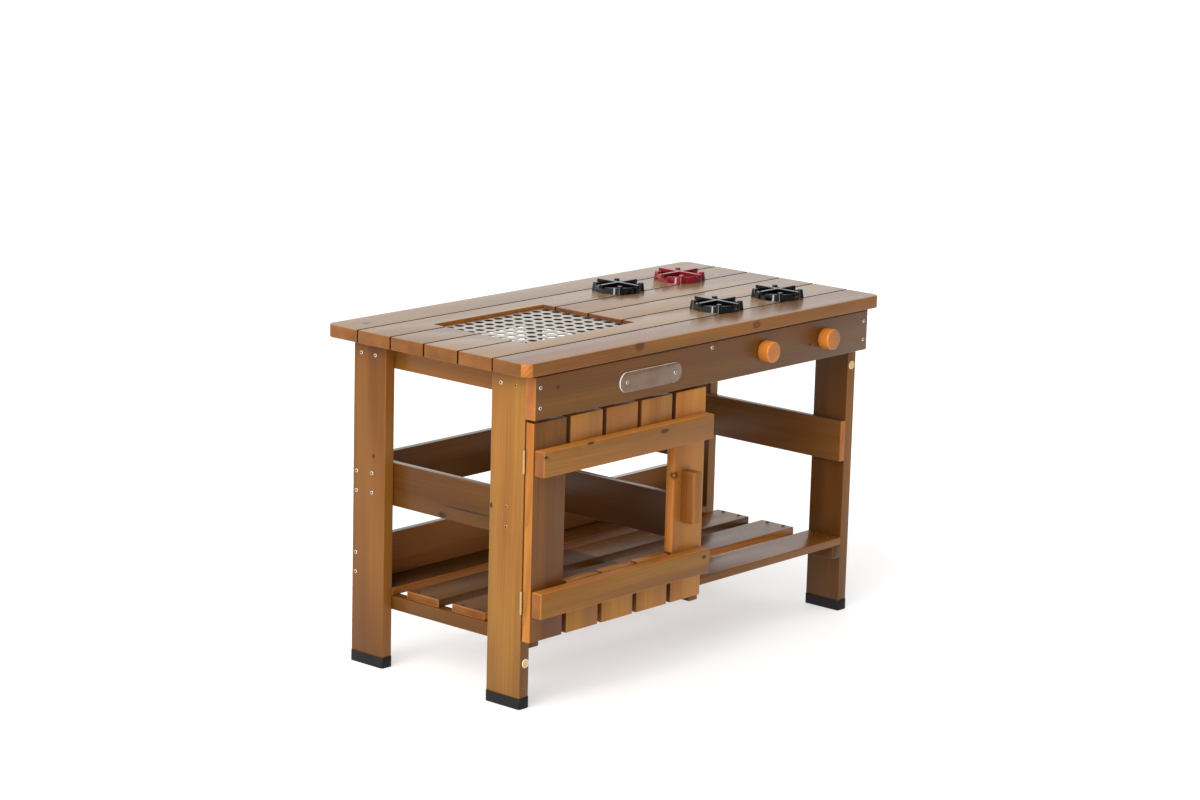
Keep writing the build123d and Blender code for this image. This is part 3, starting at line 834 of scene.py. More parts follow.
@dataclass
class Boards:
    """Every planed board of the station, each cut, rounded and stained by itself."""

    round: float = 2.2 * MM
    soft_round: float = 3.6 * MM
    end_round: float = 1.0 * MM
    steps: int = 4
    end_steps: int = 2
    thin_share: float = 0.4
    corner: float = 22 * MM
    corner_steps: int = 8
    tray_clear: float = 1.5 * MM
    cut_over: float = 50 * MM
    on_wall: float = 0.1 * MM
    shade_line: float = 5.5 * MM
    cleat: float = 30 * MM
    shading: float = 35.0
    side_share: float = 0.6

    def grain(self, node: str) -> Axis:
        """The direction of a board's fibres: its longest side, or upright.

        Args:
            node: The board's node.

        Returns:
            The direction.
        """
        if node.startswith(UPRIGHT_BOARDS):
            return Axis.Z
        low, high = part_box(node)
        sides = list(high - low)
        return Axis(sides.index(max(sides)))

    def plank(self, name: str, low: Vector, high: Vector, grain: Axis) -> Object:
        """A straight board with rounded long edges and eased ends.

        Args:
            name: The object's name.
            low: The lowest corner.
            high: The highest corner.
            grain: The direction of its length.

        Returns:
            The board.
        """
        piece = add_block(name, low, high)
        index = grain.value
        is_soft = name.startswith(SOFT_BOARDS)
        thinnest = min(high[other] - low[other] for other in range(3) if other != index)
        radius = min(self.soft_round if is_soft else self.round, self.thin_share * thinnest)
        round_edges(piece, runs_along(grain), radius, self.steps)
        ends = ends_at(grain, low[index], high[index])
        round_edges(piece, ends, self.soft_round if is_soft else self.end_round,
                    self.steps if is_soft else self.end_steps)
        return piece

    def outer_slat(self, name: str, low: Vector, high: Vector, outer: float) -> Object:
        """The first or last worktop board, with two rounded corners on its outer side.

        Args:
            name: The object's name.
            low: The lowest corner.
            high: The highest corner.
            outer: The Y place of the outer side.

        Returns:
            The board.
        """
        piece = add_block(name, low, high)
        is_outer, is_upright = ends_at(Axis.Y, outer), runs_along(Axis.Z)
        round_edges(piece, lambda a, b: is_outer(a, b) and is_upright(a, b), self.corner, self.corner_steps)
        round_edges(piece, lambda a, b: not is_upright(a, b), self.round, self.steps)
        return piece

    def opening(self) -> tuple[Vector, Vector]:
        """The corners of the grill opening in the worktop."""
        low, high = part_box("grill_tray")
        gap = Vector((self.tray_clear, self.tray_clear, 0))
        return low - gap, high + gap

    def slat(self, node: str, name: str, low: Vector, high: Vector) -> Object:
        """A worktop board, whole, notched or cut in two by the grill opening.

        Args:
            node: The node that it stands for.
            name: The object's name.
            low: The lowest corner.
            high: The highest corner.

        Returns:
            The board.
        """
        cut_low, cut_high = self.opening()
        if node == "top_slat_1":
            return self.outer_slat(name, low, high, low.y)
        if node == "top_slat_6":
            return self.outer_slat(name, low, high, high.y)
        if cut_low.y <= low.y and high.y <= cut_high.y:
            left = self.plank(name, low, Vector((cut_low.x, high.y, high.z)), Axis.X)
            right = self.plank(name, Vector((cut_high.x, low.y, low.z)), high, Axis.X)
            return join(name, (left, right))
        piece = self.plank(name, low, high, Axis.X)
        over = Vector((0, 0, self.cut_over))
        combine(piece, add_block("cutter", cut_low - over, cut_high + over), "DIFFERENCE")
        return piece

    def board(self, node: str) -> Object:
        """One board or pair of boards in its node's place, stained.

        Args:
            node: The node that it stands for.

        Returns:
            The board.
        """
        low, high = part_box(node)
        grain = self.grain(node)
        name = f"{node}.planed"
        if node.startswith("top_slat"):
            piece = self.slat(node, name, low, high)
        elif node == "partition_cleats":
            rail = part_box("back_rail_top")[0].z
            front = self.plank(name, low, Vector((high.x, low.y + self.cleat, high.z)), grain)
            corner = Vector((low.x, high.y - self.cleat, low.z))
            back = self.plank(name, corner, Vector((high.x, high.y, rail)), grain)
            piece = join(name, (front, back))
        else:
            piece = self.plank(name, low, high, grain)
        # Boards are cut where a painted tone starts: the lit window part of the right stile's left face, and
        # the painted shadow along the apron's top
        levels = {"door_stile_right": self.window(), "front_apron": (high.z - self.shade_line,)}
        for level in levels.get(node, ()):
            self.divide(piece, Vector((0, 0, level)), Axis.Z)
        # The shelf slats are cut at the partition, where the painted shade of the left bay ends
        if node.startswith("shelf_slat"):
            self.divide(piece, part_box("partition_lower")[0], Axis.X)
        smooth(piece, self.shading)
        stain = next(value for key, value in STAINS.items() if node.startswith(key))
        fade = next((value for key, value in FADES.items() if node.startswith(key)), Fade())
        knots = KNOTS.get(node, [])
        paint(piece, stain.value.material(f"stained_pine.{node}", grain, low, high, knots, fade))
        for number, (tone, test) in enumerate(self.side_tones(node), 1):
            side = f"{tone.name.lower()}_side.{node}"
            paint(piece, tone.value.material(side, grain, low, high, knots, fade))
            repaint(piece, number, test)
        return piece

    def divide(self, piece: Object, place: Vector, across: Axis) -> None:
        """Cuts a board's faces on a plane, by a point and its axis, where painted light or shade starts."""
        with editing(piece, Element.FACE):
            bpy.ops.mesh.bisect(plane_co=place, plane_no=across.vector)

    def window(self) -> Range:
        """The heights of the window's lower and upper edge in the door."""
        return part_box("door_lower_board_1")[1].z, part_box("door_upper_board_1")[0].z

    def side_tones(self, node: str) -> list[tuple[Stain, Test]]:
        """The sides of a board with another tone: other stain, painted light, painted shade and painted
        sheen.

        Args:
            node: The board's node.

        Returns:
            Each tone with the test that picks its faces. A later one goes over an earlier.
        """
        ways = ((LEFT_SIDES, LEFT), (FRONT_SIDES, FRONT), (UPPER_SIDES, UP))
        sides = [(tone, looks(way, self.side_share))
                 for table, way in ways for key, tone in table.items() if node.startswith(key)]
        if node == "door_stile_right":
            # Painted light on the right stile's left face, where the window lets the light in
            sill, head = self.window()
            is_left = looks(LEFT, self.side_share)
            return sides + [
                (Stain.ORANGE, lambda centre, normal: is_left(centre, normal) and sill < centre.z < head)]
        if node == "front_apron":
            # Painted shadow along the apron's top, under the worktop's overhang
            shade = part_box(node)[1].z - self.shade_line
            return sides + [(Stain.GAP, lambda centre, normal: centre.z > shade)]
        if node.startswith("shelf_slat"):
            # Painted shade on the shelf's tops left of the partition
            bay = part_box("partition_lower")[0].x
            return [(Stain.SHELF_DIM, lambda centre, normal: normal.z > 0.4 and centre.x < bay)] + sides
        return self.slat_tones() if node.startswith("top_slat") else sides

    def slat_tones(self) -> list[tuple[Stain, Test]]:
        """The tones of the worktop's edges, painted shade in its gaps, a painted highlight on its
        front corners, and the tones of the walls of the grill opening.

        Returns:
            Each tone with the test that picks its faces. A later one goes over an earlier.
        """
        front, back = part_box("top_slat_1")[0].y + self.corner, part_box("top_slat_6")[1].y - self.corner
        cut_low, cut_high = self.opening()

        def in_opening(point: Vector) -> bool:
            """Whether a point is in the grill opening or on its walls."""
            return all(cut_low[i] - self.on_wall < point[i] < cut_high[i] + self.on_wall for i in range(2))

        return [
            (Stain.SIDE, lambda centre, normal: abs(normal.z) < 0.5),
            (Stain.TOP_EDGE, lambda centre, normal: normal.y < -0.7 and centre.y < front),
            # Painted shade on the sides of the worktop boards in the gaps between them
            (Stain.GAP, lambda centre, normal: abs(normal.y) > 0.35 and front < centre.y < back),
            # Painted highlight on the rounded front corners of the worktop
            (Stain.ORANGE, lambda centre, normal: normal.x < -0.25 and normal.y < -0.25 and centre.y < front),
            (Stain.CUT, lambda centre, normal: abs(normal.y) > FLAT_ON and in_opening(centre)),
            (Stain.CUT_END, lambda centre, normal: abs(normal.x) > FLAT_ON and in_opening(centre))]

    def build(self) -> None:
        """Builds every board and sets it on its body."""
        for body in (Body.FRAME, Body.DOOR):
            for node in frame["record"]["behaviour"]["bodies"][body.value]:
                if node.startswith(tuple(STAINS)):
                    hand_over(self.board(node), body, "stained_pine", node)


@dataclass
class Hobs:
    """Four pretend hobs, moulded in one piece each: a ring with a floor, round lugs and a raised cross."""

    radius: float = 54 * MM
    wall: float = 7 * MM
    height: float = 15 * MM
    floor: float = 2.5 * MM
    ring_sides: int = 96
    draft: float = math.radians(7.5)
    lug_radius: float = 8.5 * MM
    lug_out: float = 6 * MM
    lug_height: float = 19.5 * MM
    lug_soft: float = 1.95 * MM
    lug_steps: int = 4
    lug_degrees: tuple[int, ...] = (45, 135, 225, 315)
    bar_width: float = 9 * MM
    bar_depth: float = 9 * MM
    bar_top: float = 20.5 * MM
    bar_reach: float = 61 * MM
    hub_radius: float = 8 * MM
    post_sides: int = 32
    soft: float = 1.3 * MM
    soft_steps: int = 3

    def ring(self) -> Object:
        """The ring with its floor, standing on the origin."""
        piece = add_drum("hob", Vector((0, 0, self.height / 2)), self.radius, self.height, self.ring_sides,
                         taper=self.height * math.tan(self.draft))
        sink_faces(piece, looks(UP), self.wall, Vector((0, 0, self.floor - self.height)))
        round_edges(piece, ends_at(Axis.Z, self.height), self.soft, self.soft_steps)
        return piece

    def lug(self, degrees: float) -> Object:
        """A round lug on the ring.

        Args:
            degrees: Its direction from the hob's middle.

        Returns:
            The lug.
        """
        out = self.radius + self.lug_out - self.lug_radius
        angle = math.radians(degrees)
        centre = Vector((out * math.cos(angle), out * math.sin(angle), self.lug_height / 2))
        piece = add_drum("lug", centre, self.lug_radius, self.lug_height, self.post_sides,
                         taper=self.lug_height * math.tan(self.draft))
        round_edges(piece, ends_at(Axis.Z, self.lug_height), self.lug_soft, self.lug_steps)
        return piece

    def bar(self, axis: Axis) -> Object:
        """A pan bar across the whole hob.

        Args:
            axis: Its direction.

        Returns:
            The bar.
        """
        across = Vector((1, 1, 0)) - axis.vector
        size = axis.vector * self.bar_reach + across * (self.bar_width / 2)
        low = -size + Vector((0, 0, self.bar_top - self.bar_depth))
        piece = add_block("bar", low, size + Vector((0, 0, self.bar_top)))
        round_edges(piece, anything, self.soft, self.soft_steps)
        return piece

    def hub(self) -> Object:
        """The round post in the middle that carries the bars."""
        centre = Vector((0, 0, self.bar_top / 2))
        piece = add_drum("hub", centre, self.hub_radius, self.bar_top, self.post_sides)
        round_edges(piece, ends_at(Axis.Z, self.bar_top), self.soft, self.soft_steps)
        return piece

    def shape(self) -> Object:
        """One hob on the origin, all its shapes grown together."""
        piece = self.ring()
        for degrees in self.lug_degrees:
            combine(piece, self.lug(degrees), "UNION")
        combine(piece, self.hub(), "UNION")
        for axis in (Axis.X, Axis.Y):
            combine(piece, self.bar(axis), "UNION")
        return piece

    def build(self) -> None:
        """Builds the four hobs and sets them on the worktop."""
        pattern = self.shape()
        black, red = BLACK_ABS.material(), RED_ABS.material()
        for node in ("hob_front_left", "hob_front_right", "hob_back_left", "hob_back_right"):
            low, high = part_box(node)
            place = Matrix.Translation(((low.x + high.x) / 2, (low.y + high.y) / 2, low.z))
            piece = copy_to(pattern, f"{node}.moulded", place)
            smooth(piece)
            modify(piece, "WEIGHTED_NORMAL", keep_sharp=True)
            is_red = node == "hob_back_right"
            paint(piece, red if is_red else black)
            hand_over(piece, Body.FRAME, "red_plastic" if is_red else "black_plastic", node)
        bpy.data.objects.remove(pattern)


@dataclass
class GrillTray:
    """The perforated sheet sunk in the worktop, with its sides folded down."""

    hole: float = 20 * MM
    hole_sides: int = 32
    pitch: float = 30.5 * MM
    columns: int = 11
    rows: int = 8
    merge: float = 0.1 * MM
    sheet: float = 1.5 * MM
    fold: float = 2.5 * MM
    fold_steps: int = 4
    shading: float = 40.0

    def cell(self) -> Object:
        """One hole with the square of sheet round it."""
        bpy.ops.object.select_all(action="DESELECT")
        bpy.ops.mesh.primitive_circle_add(vertices=self.hole_sides, radius=self.hole / 2, fill_type="NOTHING")
        piece = settle(bpy.context.object, "grill_cell")
        with editing(piece, Element.EDGE):
            bpy.ops.mesh.extrude_region()
        for vertex in piece.data.vertices:
            if vertex.select:
                vertex.co *= self.pitch / 2 / max(abs(vertex.co.x), abs(vertex.co.y))
        return piece

    def grid(self) -> Object:
        """The flat sheet with all its holes, its middle on the origin."""
        piece = self.cell()
        for axis, count in ((Axis.X, self.columns), (Axis.Y, self.rows)):
            modify(piece, "ARRAY", count=count, use_relative_offset=False, use_constant_offset=True,
                   constant_offset_displace=axis.vector * self.pitch, use_merge_vertices=True,
                   merge_threshold=self.merge)
        corner = Vector(((self.columns - 1) * self.pitch / 2, (self.rows - 1) * self.pitch / 2, 0))
        for vertex in piece.data.vertices:
            vertex.co -= corner
        return piece

    def grow_rim(self, piece: Object, half: Vector, outline: Vector, level: float) -> None:
        """Extrudes the outer edge of the sheet to a new rectangle.

        Args:
            piece: The sheet.
            half: Half the size of the rectangle that the edge lies on now.
            outline: Half the size of the new rectangle.
            level: The height of the new edge.
        """
        mesh = piece.data
        uses = Counter(key for face in mesh.polygons for key in face.edge_keys)
        lone = {frozenset(tuple(mesh.vertices[index].co) for index in key) for key in uses if uses[key] == 1}

        def on_side(point: Vector, index: int) -> bool:
            """Whether a point lies on a side of the present rectangle, left and right or front and back."""
            return abs(abs(point[index]) - half[index]) < NEAR

        def on_rim(a: Vector, b: Vector) -> bool:
            """Whether an edge has a face on one side only and lies on the present rectangle."""
            ends_on = all(on_side(point, 0) or on_side(point, 1) for point in (a, b))
            return ends_on and frozenset((tuple(a), tuple(b))) in lone

        with editing(piece, Element.EDGE, on_rim):
            bpy.ops.mesh.extrude_region()
        for vertex in mesh.vertices:
            if vertex.select:
                for index in range(2):
                    if on_side(vertex.co, index):
                        vertex.co[index] = math.copysign(outline[index], vertex.co[index])
                vertex.co.z = level

    def folded(self, size: Vector) -> Object:
        """The sheet without thickness, its sides folded and turned down.

        Args:
            size: The size of the tray.

        Returns:
            The sheet, its upper face at the origin's height and its normals outwards.
        """
        piece = self.grid()
        half = Vector((self.columns * self.pitch / 2, self.rows * self.pitch / 2))
        for step in range(self.fold_steps + 1):
            angle = math.pi / 2 * step / self.fold_steps
            inset = self.fold * (1 - math.sin(angle))
            outline = size.to_2d() / 2 - Vector((inset, inset))
            self.grow_rim(piece, half, outline, -self.fold * (1 - math.cos(angle)))
            half = outline
        with editing(piece, Element.EDGE, ends_at(Axis.Z, -self.fold)):
            bpy.ops.mesh.extrude_region_move(TRANSFORM_OT_translate={"value": (0, 0, self.fold - size.z)})
        with editing(piece, Element.FACE):
            bpy.ops.mesh.normals_make_consistent(inside=False)
        if sum(face.normal.z * face.area for face in piece.data.polygons) < 0:
            with editing(piece, Element.FACE):
                bpy.ops.mesh.flip_normals()
        return piece

    def build(self) -> None:
        """Builds the tray in its node's place."""
        low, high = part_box("grill_tray")
        piece = self.folded(high - low)
        # The underside and the folded sides get the painted shade, as the second finish
        paint(piece, GRILL_STEEL.material(), GRILL_SHADE.material())
        modify(piece, "SOLIDIFY", thickness=self.sheet, offset=-1.0, material_offset=1, material_offset_rim=1)
        piece.location = ((low.x + high.x) / 2, (low.y + high.y) / 2, high.z)
        settle(piece, "grill_tray.perforated")
        smooth(piece, self.shading)
        hand_over(piece, Body.FRAME, "perforated_steel", "grill_tray")


@dataclass
class Knobs:
    """Two turned wooden knobs on the apron."""

    sides: int = 64
    front_round: float = 5 * MM
    front_steps: int = 8
    back_round: float = 1 * MM
    back_steps: int = 2

    def build(self) -> None:
        """Builds the knobs in their nodes' places."""
        for body, tone in ((Body.KNOB_LEFT, Stain.KNOB), (Body.KNOB_RIGHT, Stain.KNOB_DARK)):
            node = body.value
            low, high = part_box(node)
            size = high - low
            piece = add_drum(f"{node}.turned", (low + high) / 2, size.x / 2, size.y, self.sides, Axis.Y)
            round_edges(piece, ends_at(Axis.Y, low.y), self.front_round, self.front_steps)
            round_edges(piece, ends_at(Axis.Y, high.y), self.back_round, self.back_steps)
            smooth(piece)
            paint(piece, tone.value.material(f"lacquered_{node}", Axis.Y, low, high))
            hand_over(piece, body, "knob_wood", node)


@dataclass
class FootCaps:
    """Moulded caps that the legs stand in."""

    corner: float = 5.5 * MM
    corner_steps: int = 5
    wall: float = 1.5 * MM
    base: float = 3 * MM
    foot_round: float = 1.2 * MM
    foot_steps: int = 3
    rim_round: float = 0.4 * MM
    rim_steps: int = 2
    shading: float = 35.0

    def build(self) -> None:
        """Builds the four caps in their nodes' places."""
        finish = FOOT_PE.material()
        for node in (name for name in frame["nodes"] if name.startswith("foot_cap")):
            low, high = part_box(node)
            piece = add_block(f"{node}.moulded", low, high)
            round_edges(piece, runs_along(Axis.Z), self.corner, self.corner_steps)
            sink_faces(piece, looks(UP), self.wall, Vector((0, 0, low.z + self.base - high.z)))
            round_edges(piece, ends_at(Axis.Z, low.z), self.foot_round, self.foot_steps)
            round_edges(piece, ends_at(Axis.Z, high.z), self.rim_round, self.rim_steps)
            smooth(piece, self.shading)
            paint(piece, finish)
            hand_over(piece, Body.FRAME, "foot_plastic", node)


# Screws through the outer faces of the legs, from the worktop's front edge and the floor in millimetres
LEG_SPOTS: tuple[Range, ...] = (
    (513, 686), (471, 686), (106, 686), (64.6, 686), (477.5, 428), (477.5, 385), (84, 428), (84, 385),
    (524, 425.7), (524, 382.3), (524, 244.7), (524, 201.8))
# Screws through the apron, from the worktop's left end and the floor in millimetres
APRON_SPOTS: tuple[Range, ...] = ((51, 688), (51, 645), (1139, 688), (1139, 645), (597, 698.5))


@dataclass
class Screws:
    """Round screw heads with a six-sided socket, and where they show."""

    radius: float = 4.3 * MM
    height: float = 1.1 * MM
    sides: int = 20
    soft: float = 0.8 * MM
    soft_steps: int = 3
    socket: float = 2.7 * MM
    socket_depth: float = 0.9 * MM
    socket_sides: int = 6
    stained_depth: float = 100.0
    shelf_shares: Range = (0.25, 0.75)
    door_shares: Range = (0.28, 0.72)
    door_step: float = 12 * MM

    def head(self) -> Object:
        """One screw head on the origin, facing +Z, its socket marked for painted shade."""
        piece = add_drum("head", Vector((0, 0, self.height / 2)), self.radius, self.height, self.sides)
        round_edges(piece, ends_at(Axis.Z, self.height), self.soft, self.soft_steps)
        top = Vector((0, 0, self.height))
        socket = add_drum("socket", top, self.socket, 2 * self.socket_depth, self.socket_sides)
        combine(piece, socket, "DIFFERENCE")
        piece.data.materials.clear()
        # The socket's floor and walls are marked for the painted shade
        for face in piece.data.polygons:
            is_floor = face.normal.z > FLAT_ON and face.center.z < self.height - 0.5 * self.socket_depth
            is_wall = abs(face.normal.z) < 0.3 and face.center.to_2d().length < 1.1 * self.socket
            face.material_index = int(is_floor or is_wall)
        return piece

    def group(self, name: str, body: Body, finish: Skin, places: Sequence[Place]) -> None:
        """A group of screws of one finish on one body.

        Args:
            name: The group's name.
            body: The body that it rides on.
            finish: The metal.
            places: Each screw's place and the direction that it faces.
        """
        pattern = self.head()
        paint(pattern, finish.material(), RECESS_SHADE.material())
        draw = random.Random(name)
        heads = []
        for place, facing in places:
            turn = Vector(UP).rotation_difference(facing).to_matrix().to_4x4()
            spin = Matrix.Rotation(draw.uniform(0, math.pi / 2), 4, "Z")
            heads.append(copy_to(pattern, name, Matrix.Translation(place) @ turn @ spin))
        bpy.data.objects.remove(pattern)
        piece = join(name, heads)
        smooth(piece)
        hand_over(piece, body, "bolt_steel")

    def leg_places(self) -> list[Place]:
        """Screws through the outer faces of the legs, the same on both sides."""
        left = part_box("leg_front_left")[0].x
        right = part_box("leg_front_right")[1].x
        points = [station_point(0, y, z) for y, z in LEG_SPOTS]
        return [(Vector((x, point.y, point.z)), Vector(way))
                for point in points for x, way in ((left, LEFT), (right, RIGHT))]

    def apron_places(self) -> list[Place]:
        """Screws through the front of the apron."""
        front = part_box("front_apron")[0].y
        points = (station_point(x, 0, z) for x, z in APRON_SPOTS)
        return [(Vector((point.x, front, point.z)), Vector(FRONT)) for point in points]

    def shelf_places(self) -> list[Place]:
        """Two screws in each shelf slat over each outer bearer."""
        places = []
        for number in range(1, 5):
            low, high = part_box(f"shelf_slat_{number}")
            for side in ("left", "right"):
                bearer_low, bearer_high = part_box(f"bearer_{side}")
                x = (bearer_low.x + bearer_high.x) / 2
                for share in self.shelf_shares:
                    places.append((Vector((x, low.y + share * (high.y - low.y), high.z)), Vector(UP)))
        return places

    def door_places(self) -> list[Place]:
        """Screws from behind through the door boards into the battens."""
        places = []
        names = frame["record"]["behaviour"]["bodies"][Body.DOOR.value]
        boards = [name for name in names if "board" in name or "stile" in name]
        for batten in ("top", "bottom"):
            batten_low, batten_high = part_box(f"door_batten_{batten}")
            z = (batten_low.z + batten_high.z) / 2
            for low, high in map(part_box, boards):
                if low.z < z < high.z:
                    for share, level in zip(self.door_shares, (z + self.door_step, z - self.door_step)):
                        x = low.x + share * (high.x - low.x)
                        places.append((Vector((x, high.y, level)), Vector(BACK)))
        return places

    def build(self) -> None:
        """Builds every group of screws."""
        legs = self.leg_places()
        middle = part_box("cross_rail_middle")[0].x
        depth = station_point(0, self.stained_depth, 0).y
        near = [item for item in legs if item[0].x < middle and item[0].y < depth]
        self.group("leg_screws", Body.FRAME, SCREW_ZINC, [item for item in legs if item not in near])
        self.group("stained_leg_screws", Body.FRAME, SCREW_STAINED, near)
        self.group("apron_screws", Body.FRAME, SCREW_ZINC, self.apron_places())
        self.group("shelf_screws", Body.FRAME, SCREW_BROWN, self.shelf_places())
        self.group("door_screws", Body.DOOR, SCREW_ZINC, self.door_places())


@dataclass
class FrontPlate:
    """The bare plate with round ends on the apron, with its two screws."""

    end_share: float = 0.4999
    end_steps: int = 16
    bevel: float = 1.3 * MM
    bevel_steps: int = 2
    screw_set: float = 77.5 * MM

    def build(self, screws: Screws) -> None:
        """Builds the plate in its node's place, and its screws.

        Args:
            screws: The maker of screw heads.
        """
        low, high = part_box("front_plate")
        piece = add_block("front_plate.sawn", low, high)
        round_edges(piece, runs_along(Axis.Y), self.end_share * (high.z - low.z), self.end_steps)
        round_edges(piece, ends_at(Axis.Y, low.y), self.bevel, self.bevel_steps)
        smooth(piece)
        paint(piece, PLATE_FACE.material(), PLATE_RIM_GLOW.material())
        # The edges and bevels get the frosted finish with its painted glow
        repaint(piece, 1, lambda centre, normal: abs(normal.y) <= 0.95)
        hand_over(piece, Body.FRAME, "plate_acrylic", "front_plate")
        middle = (low + high) / 2
        ends = (middle.x - self.screw_set, middle.x + self.screw_set)
        places = [(Vector((x, low.y, middle.z)), Vector(FRONT)) for x in ends]
        screws.group("plate_screws", Body.FRAME, SCREW_ZINC, places)


@dataclass
class LegDiscs:
    """Two bare round discs on the fronts of the front legs, with a raised ring each."""

    radius: float = 9.5 * MM
    sides: int = 40
    thick: float = 1.4 * MM
    ring: float = 1.6 * MM
    sunk: float = 0.5 * MM
    soft: float = 0.3 * MM
    soft_steps: int = 2
    spots: tuple[tuple[str, float, float], ...] = (("left", 53, 98), ("right", 1137, 581.5))

    def build(self) -> None:
        """Builds the discs where they sit on the legs."""
        for side, x, z in self.spots:
            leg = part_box(f"leg_front_{side}")[0].y
            front = leg - self.thick
            point = station_point(x, 0, z)
            centre = Vector((point.x, leg - self.thick / 2, point.z))
            piece = add_drum(f"leg_disc_{side}", centre, self.radius, self.thick, self.sides, Axis.Y)
            sink_faces(piece, looks(FRONT), self.ring, Vector((0, self.sunk, 0)))
            round_edges(piece, ends_at(Axis.Y, front), self.soft, self.soft_steps)
            smooth(piece)
            paint(piece, DISC_PE.material(), DISC_TAN.material())
            floor = front + self.sunk / 2
            repaint(piece, 1, lambda middle, normal: normal.y < -FLAT_ON and middle.y > floor)
            hand_over(piece, Body.FRAME, "plate_acrylic")


@dataclass
class Ironmongery:
    """Hinges and bolts, which keep their solids, and the flat screws in the hinge leaves."""

    leaf: float = 1.2 * MM
    half_height: float = 25 * MM
    screw_step: float = 16 * MM
    screw_sets: Range = (7 * MM, 12 * MM)
    flat: Screws = field(default_factory=lambda: Screws(
        radius=3.2 * MM, height=0.07 * MM, socket=1.8 * MM, socket_depth=0.05 * MM))

    def leaf_screws(self) -> None:
        """Sets three flat screws in a zigzag in each leaf, where the open door shows them."""
        low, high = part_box("hinge_frame_leaves")
        leg_front, door_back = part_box("leg_front_left")[0].y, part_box("door_stile_left")[1].y
        leaves = ((Body.FRAME, leg_front - self.leaf, FRONT, 0), (Body.DOOR, door_back + self.leaf, BACK, 1))
        for body, face, facing, start in leaves:
            places = []
            for middle in (low.z + self.half_height, high.z - self.half_height):
                for step in (-1, 0, 1):
                    x = high.x - self.screw_sets[(step + start) % 2]
                    places.append((Vector((x, face, middle + step * self.screw_step)), Vector(facing)))
            self.flat.group(f"hinge_{body.value}_screws", body, SCREW_ZINC, places)

    def dress(self) -> None:
        """Puts plated steel on the hinges and bolts."""
        for node, finish in (("hinge_frame_leaves", HINGE_ZINC), ("hinge_door_leaves", HINGE_ZINC),
                             ("hinge_pins", HINGE_ZINC), ("knob_bolts", BOLT_STEEL)):
            for slot in frame["nodes"][node].material_slots:
                slot.material = finish.material()
            log.info("%s keeps its solids", node)
        self.leaf_screws()


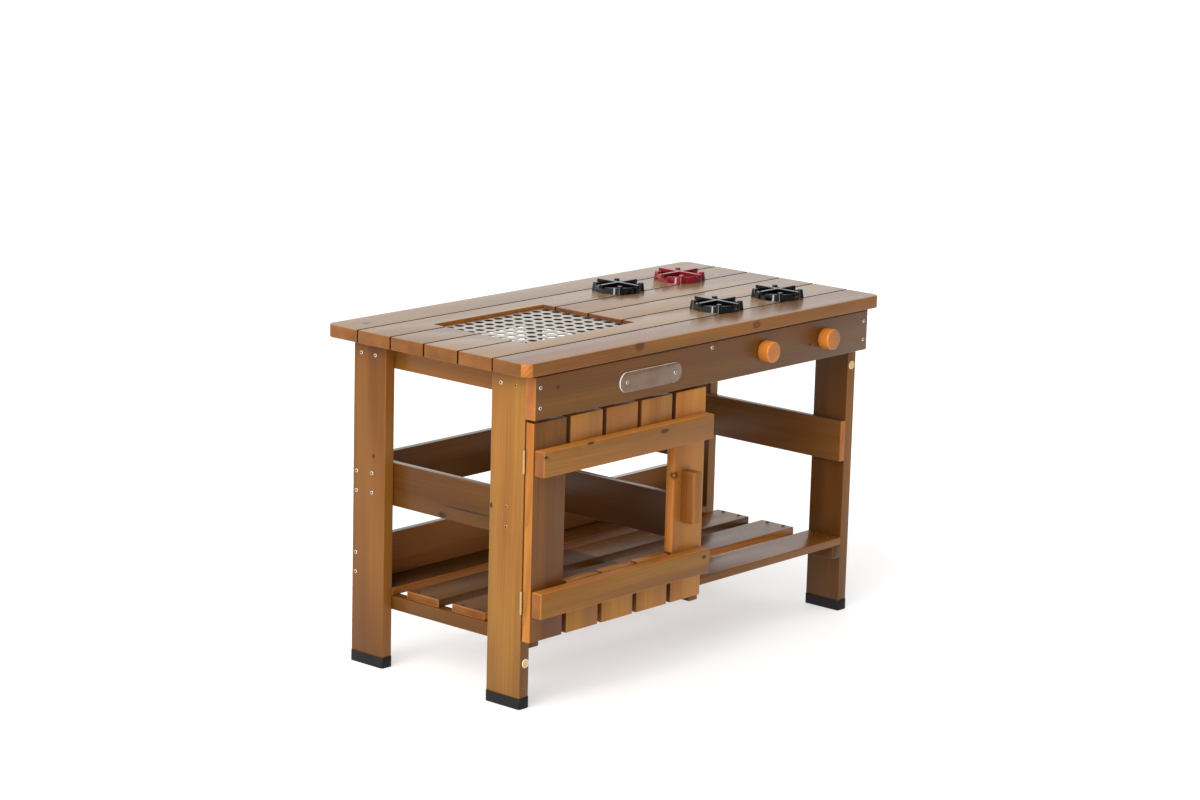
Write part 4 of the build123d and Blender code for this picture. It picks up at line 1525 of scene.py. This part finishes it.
@dataclass
class Studio:
    """The pale floor, the soft light and the camera at the photograph's viewing angle."""

    place: Triple = (-5.34964, -4.63809, 2.08292)
    azimuth: float = -48.8128
    elevation: float = 12.3110
    roll: float = 1.5205
    lens: float = 98.057
    sensor: float = 36.0
    clip_end: float = 200.0
    floor_size: float = 60.0
    floor_colour: str = "#BFBEBD"
    floor_rough: float = 0.7
    floor_shine: float = 0.2
    floor_glow: float = 0.52
    bright_way: Triple = (-0.35, 0.85, 0.4)
    surround: tuple[float, float, float, float] = (-0.7, 0.35, 0.30, 1.05)
    suns: tuple[tuple[str, float, float], ...] = (("key", 2.8, 50), ("glint", 0.2, 6))
    sun_way: Triple = (0.86, 0.10, -0.62)
    sun_colour: Triple = (1.0, 0.965, 0.92)
    strip_place: Triple = (-5.34, -2.05, 1.8)
    strip_size: Range = (0.7, 3.0)
    strip_power: float = 105.0

    def camera(self) -> None:
        """Sets up the camera."""
        azimuth, elevation, roll = map(math.radians, (self.azimuth, self.elevation, self.roll))
        ahead = Vector((-math.sin(azimuth) * math.cos(elevation), math.cos(azimuth) * math.cos(elevation),
                        -math.sin(elevation)))
        level = Vector((math.cos(azimuth), math.sin(azimuth), 0))
        right = math.cos(roll) * level + math.sin(roll) * level.cross(ahead)
        up = right.cross(ahead)
        data = bpy.data.cameras.new("camera")
        data.lens = self.lens
        data.sensor_width = self.sensor
        data.sensor_fit = "HORIZONTAL"
        data.clip_end = self.clip_end
        camera = bpy.data.objects.new("camera", data)
        turn = Matrix((right, up, -ahead)).transposed().to_4x4()
        camera.matrix_world = Matrix.Translation(self.place) @ turn
        bpy.context.collection.objects.link(camera)
        bpy.context.scene.camera = camera

    def floor(self) -> None:
        """Lays the pale floor, a little brighter than its own light would make it."""
        bpy.ops.object.select_all(action="DESELECT")
        bpy.ops.mesh.primitive_plane_add(size=self.floor_size)
        piece = settle(bpy.context.object, "floor")
        material, graph = new_material("pale_studio_floor")
        graph.feed(graph.shader, {
            "Base Color": linear(self.floor_colour), "Roughness": self.floor_rough,
            "Specular IOR Level": self.floor_shine, "Emission Color": WHITE,
            "Emission Strength": self.floor_glow})
        paint(piece, material)

    def surroundings(self) -> None:
        """Makes the white surround, brighter behind the station than in front of it."""
        world = bpy.data.worlds.new("studio")
        bpy.context.scene.world = world
        world.use_nodes = True
        graph = Graph(world.node_tree)
        way = graph.node("TexCoord").outputs["Generated"]
        side = graph.vector("DOT_PRODUCT", way, Vector(self.bright_way).normalized())["Value"]
        glow = graph.span(side, *self.surround)
        graph.feed(world.node_tree.nodes["Background"], {"Color": WHITE, "Strength": glow})

    def hang(self, lamp: bpy.types.Light, way: Vector, place: Triple = (0, 0, 0)) -> Object:
        """Hangs a lamp in the set.

        Args:
            lamp: The lamp.
            way: The direction that it shines in.
            place: Where it hangs.

        Returns:
            The object that holds the lamp.
        """
        holder = bpy.data.objects.new(lamp.name, lamp)
        holder.location = place
        holder.rotation_euler = way.to_track_quat("-Z", "Y").to_euler()
        bpy.context.collection.objects.link(holder)
        return holder

    def light(self) -> None:
        """Hangs a wide key on the left, a small sun for glints, and a strip that shines in gloss only."""
        for name, energy, spread in self.suns:
            sun = bpy.data.lights.new(name, "SUN")
            sun.energy = energy
            sun.angle = math.radians(spread)
            sun.color = self.sun_colour
            self.hang(sun, Vector(self.sun_way))
        strip = bpy.data.lights.new("strip", "AREA")
        strip.shape = "RECTANGLE"
        strip.size, strip.size_y = self.strip_size
        strip.energy = self.strip_power
        holder = self.hang(strip, -Vector((self.strip_place[0], self.strip_place[1], 0)), self.strip_place)
        holder.visible_diffuse = holder.visible_camera = False

    def build(self) -> None:
        """Sets up camera, floor and light."""
        self.camera()
        self.floor()
        self.surroundings()
        self.light()
        bpy.context.scene.view_settings.view_transform = "Standard"
        bpy.context.scene.view_settings.look = "None"


def main() -> None:
    """Builds and dresses the station piece by piece, then sets it in the studio."""
    logging.basicConfig(level=logging.INFO, format="%(name)s: %(message)s")
    screws = Screws()
    Boards().build()
    Hobs().build()
    GrillTray().build()
    Knobs().build()
    FootCaps().build()
    screws.build()
    FrontPlate().build(screws)
    LegDiscs().build()
    Ironmongery().dress()
    Studio().build()


if __name__ == "__main__":
    main()
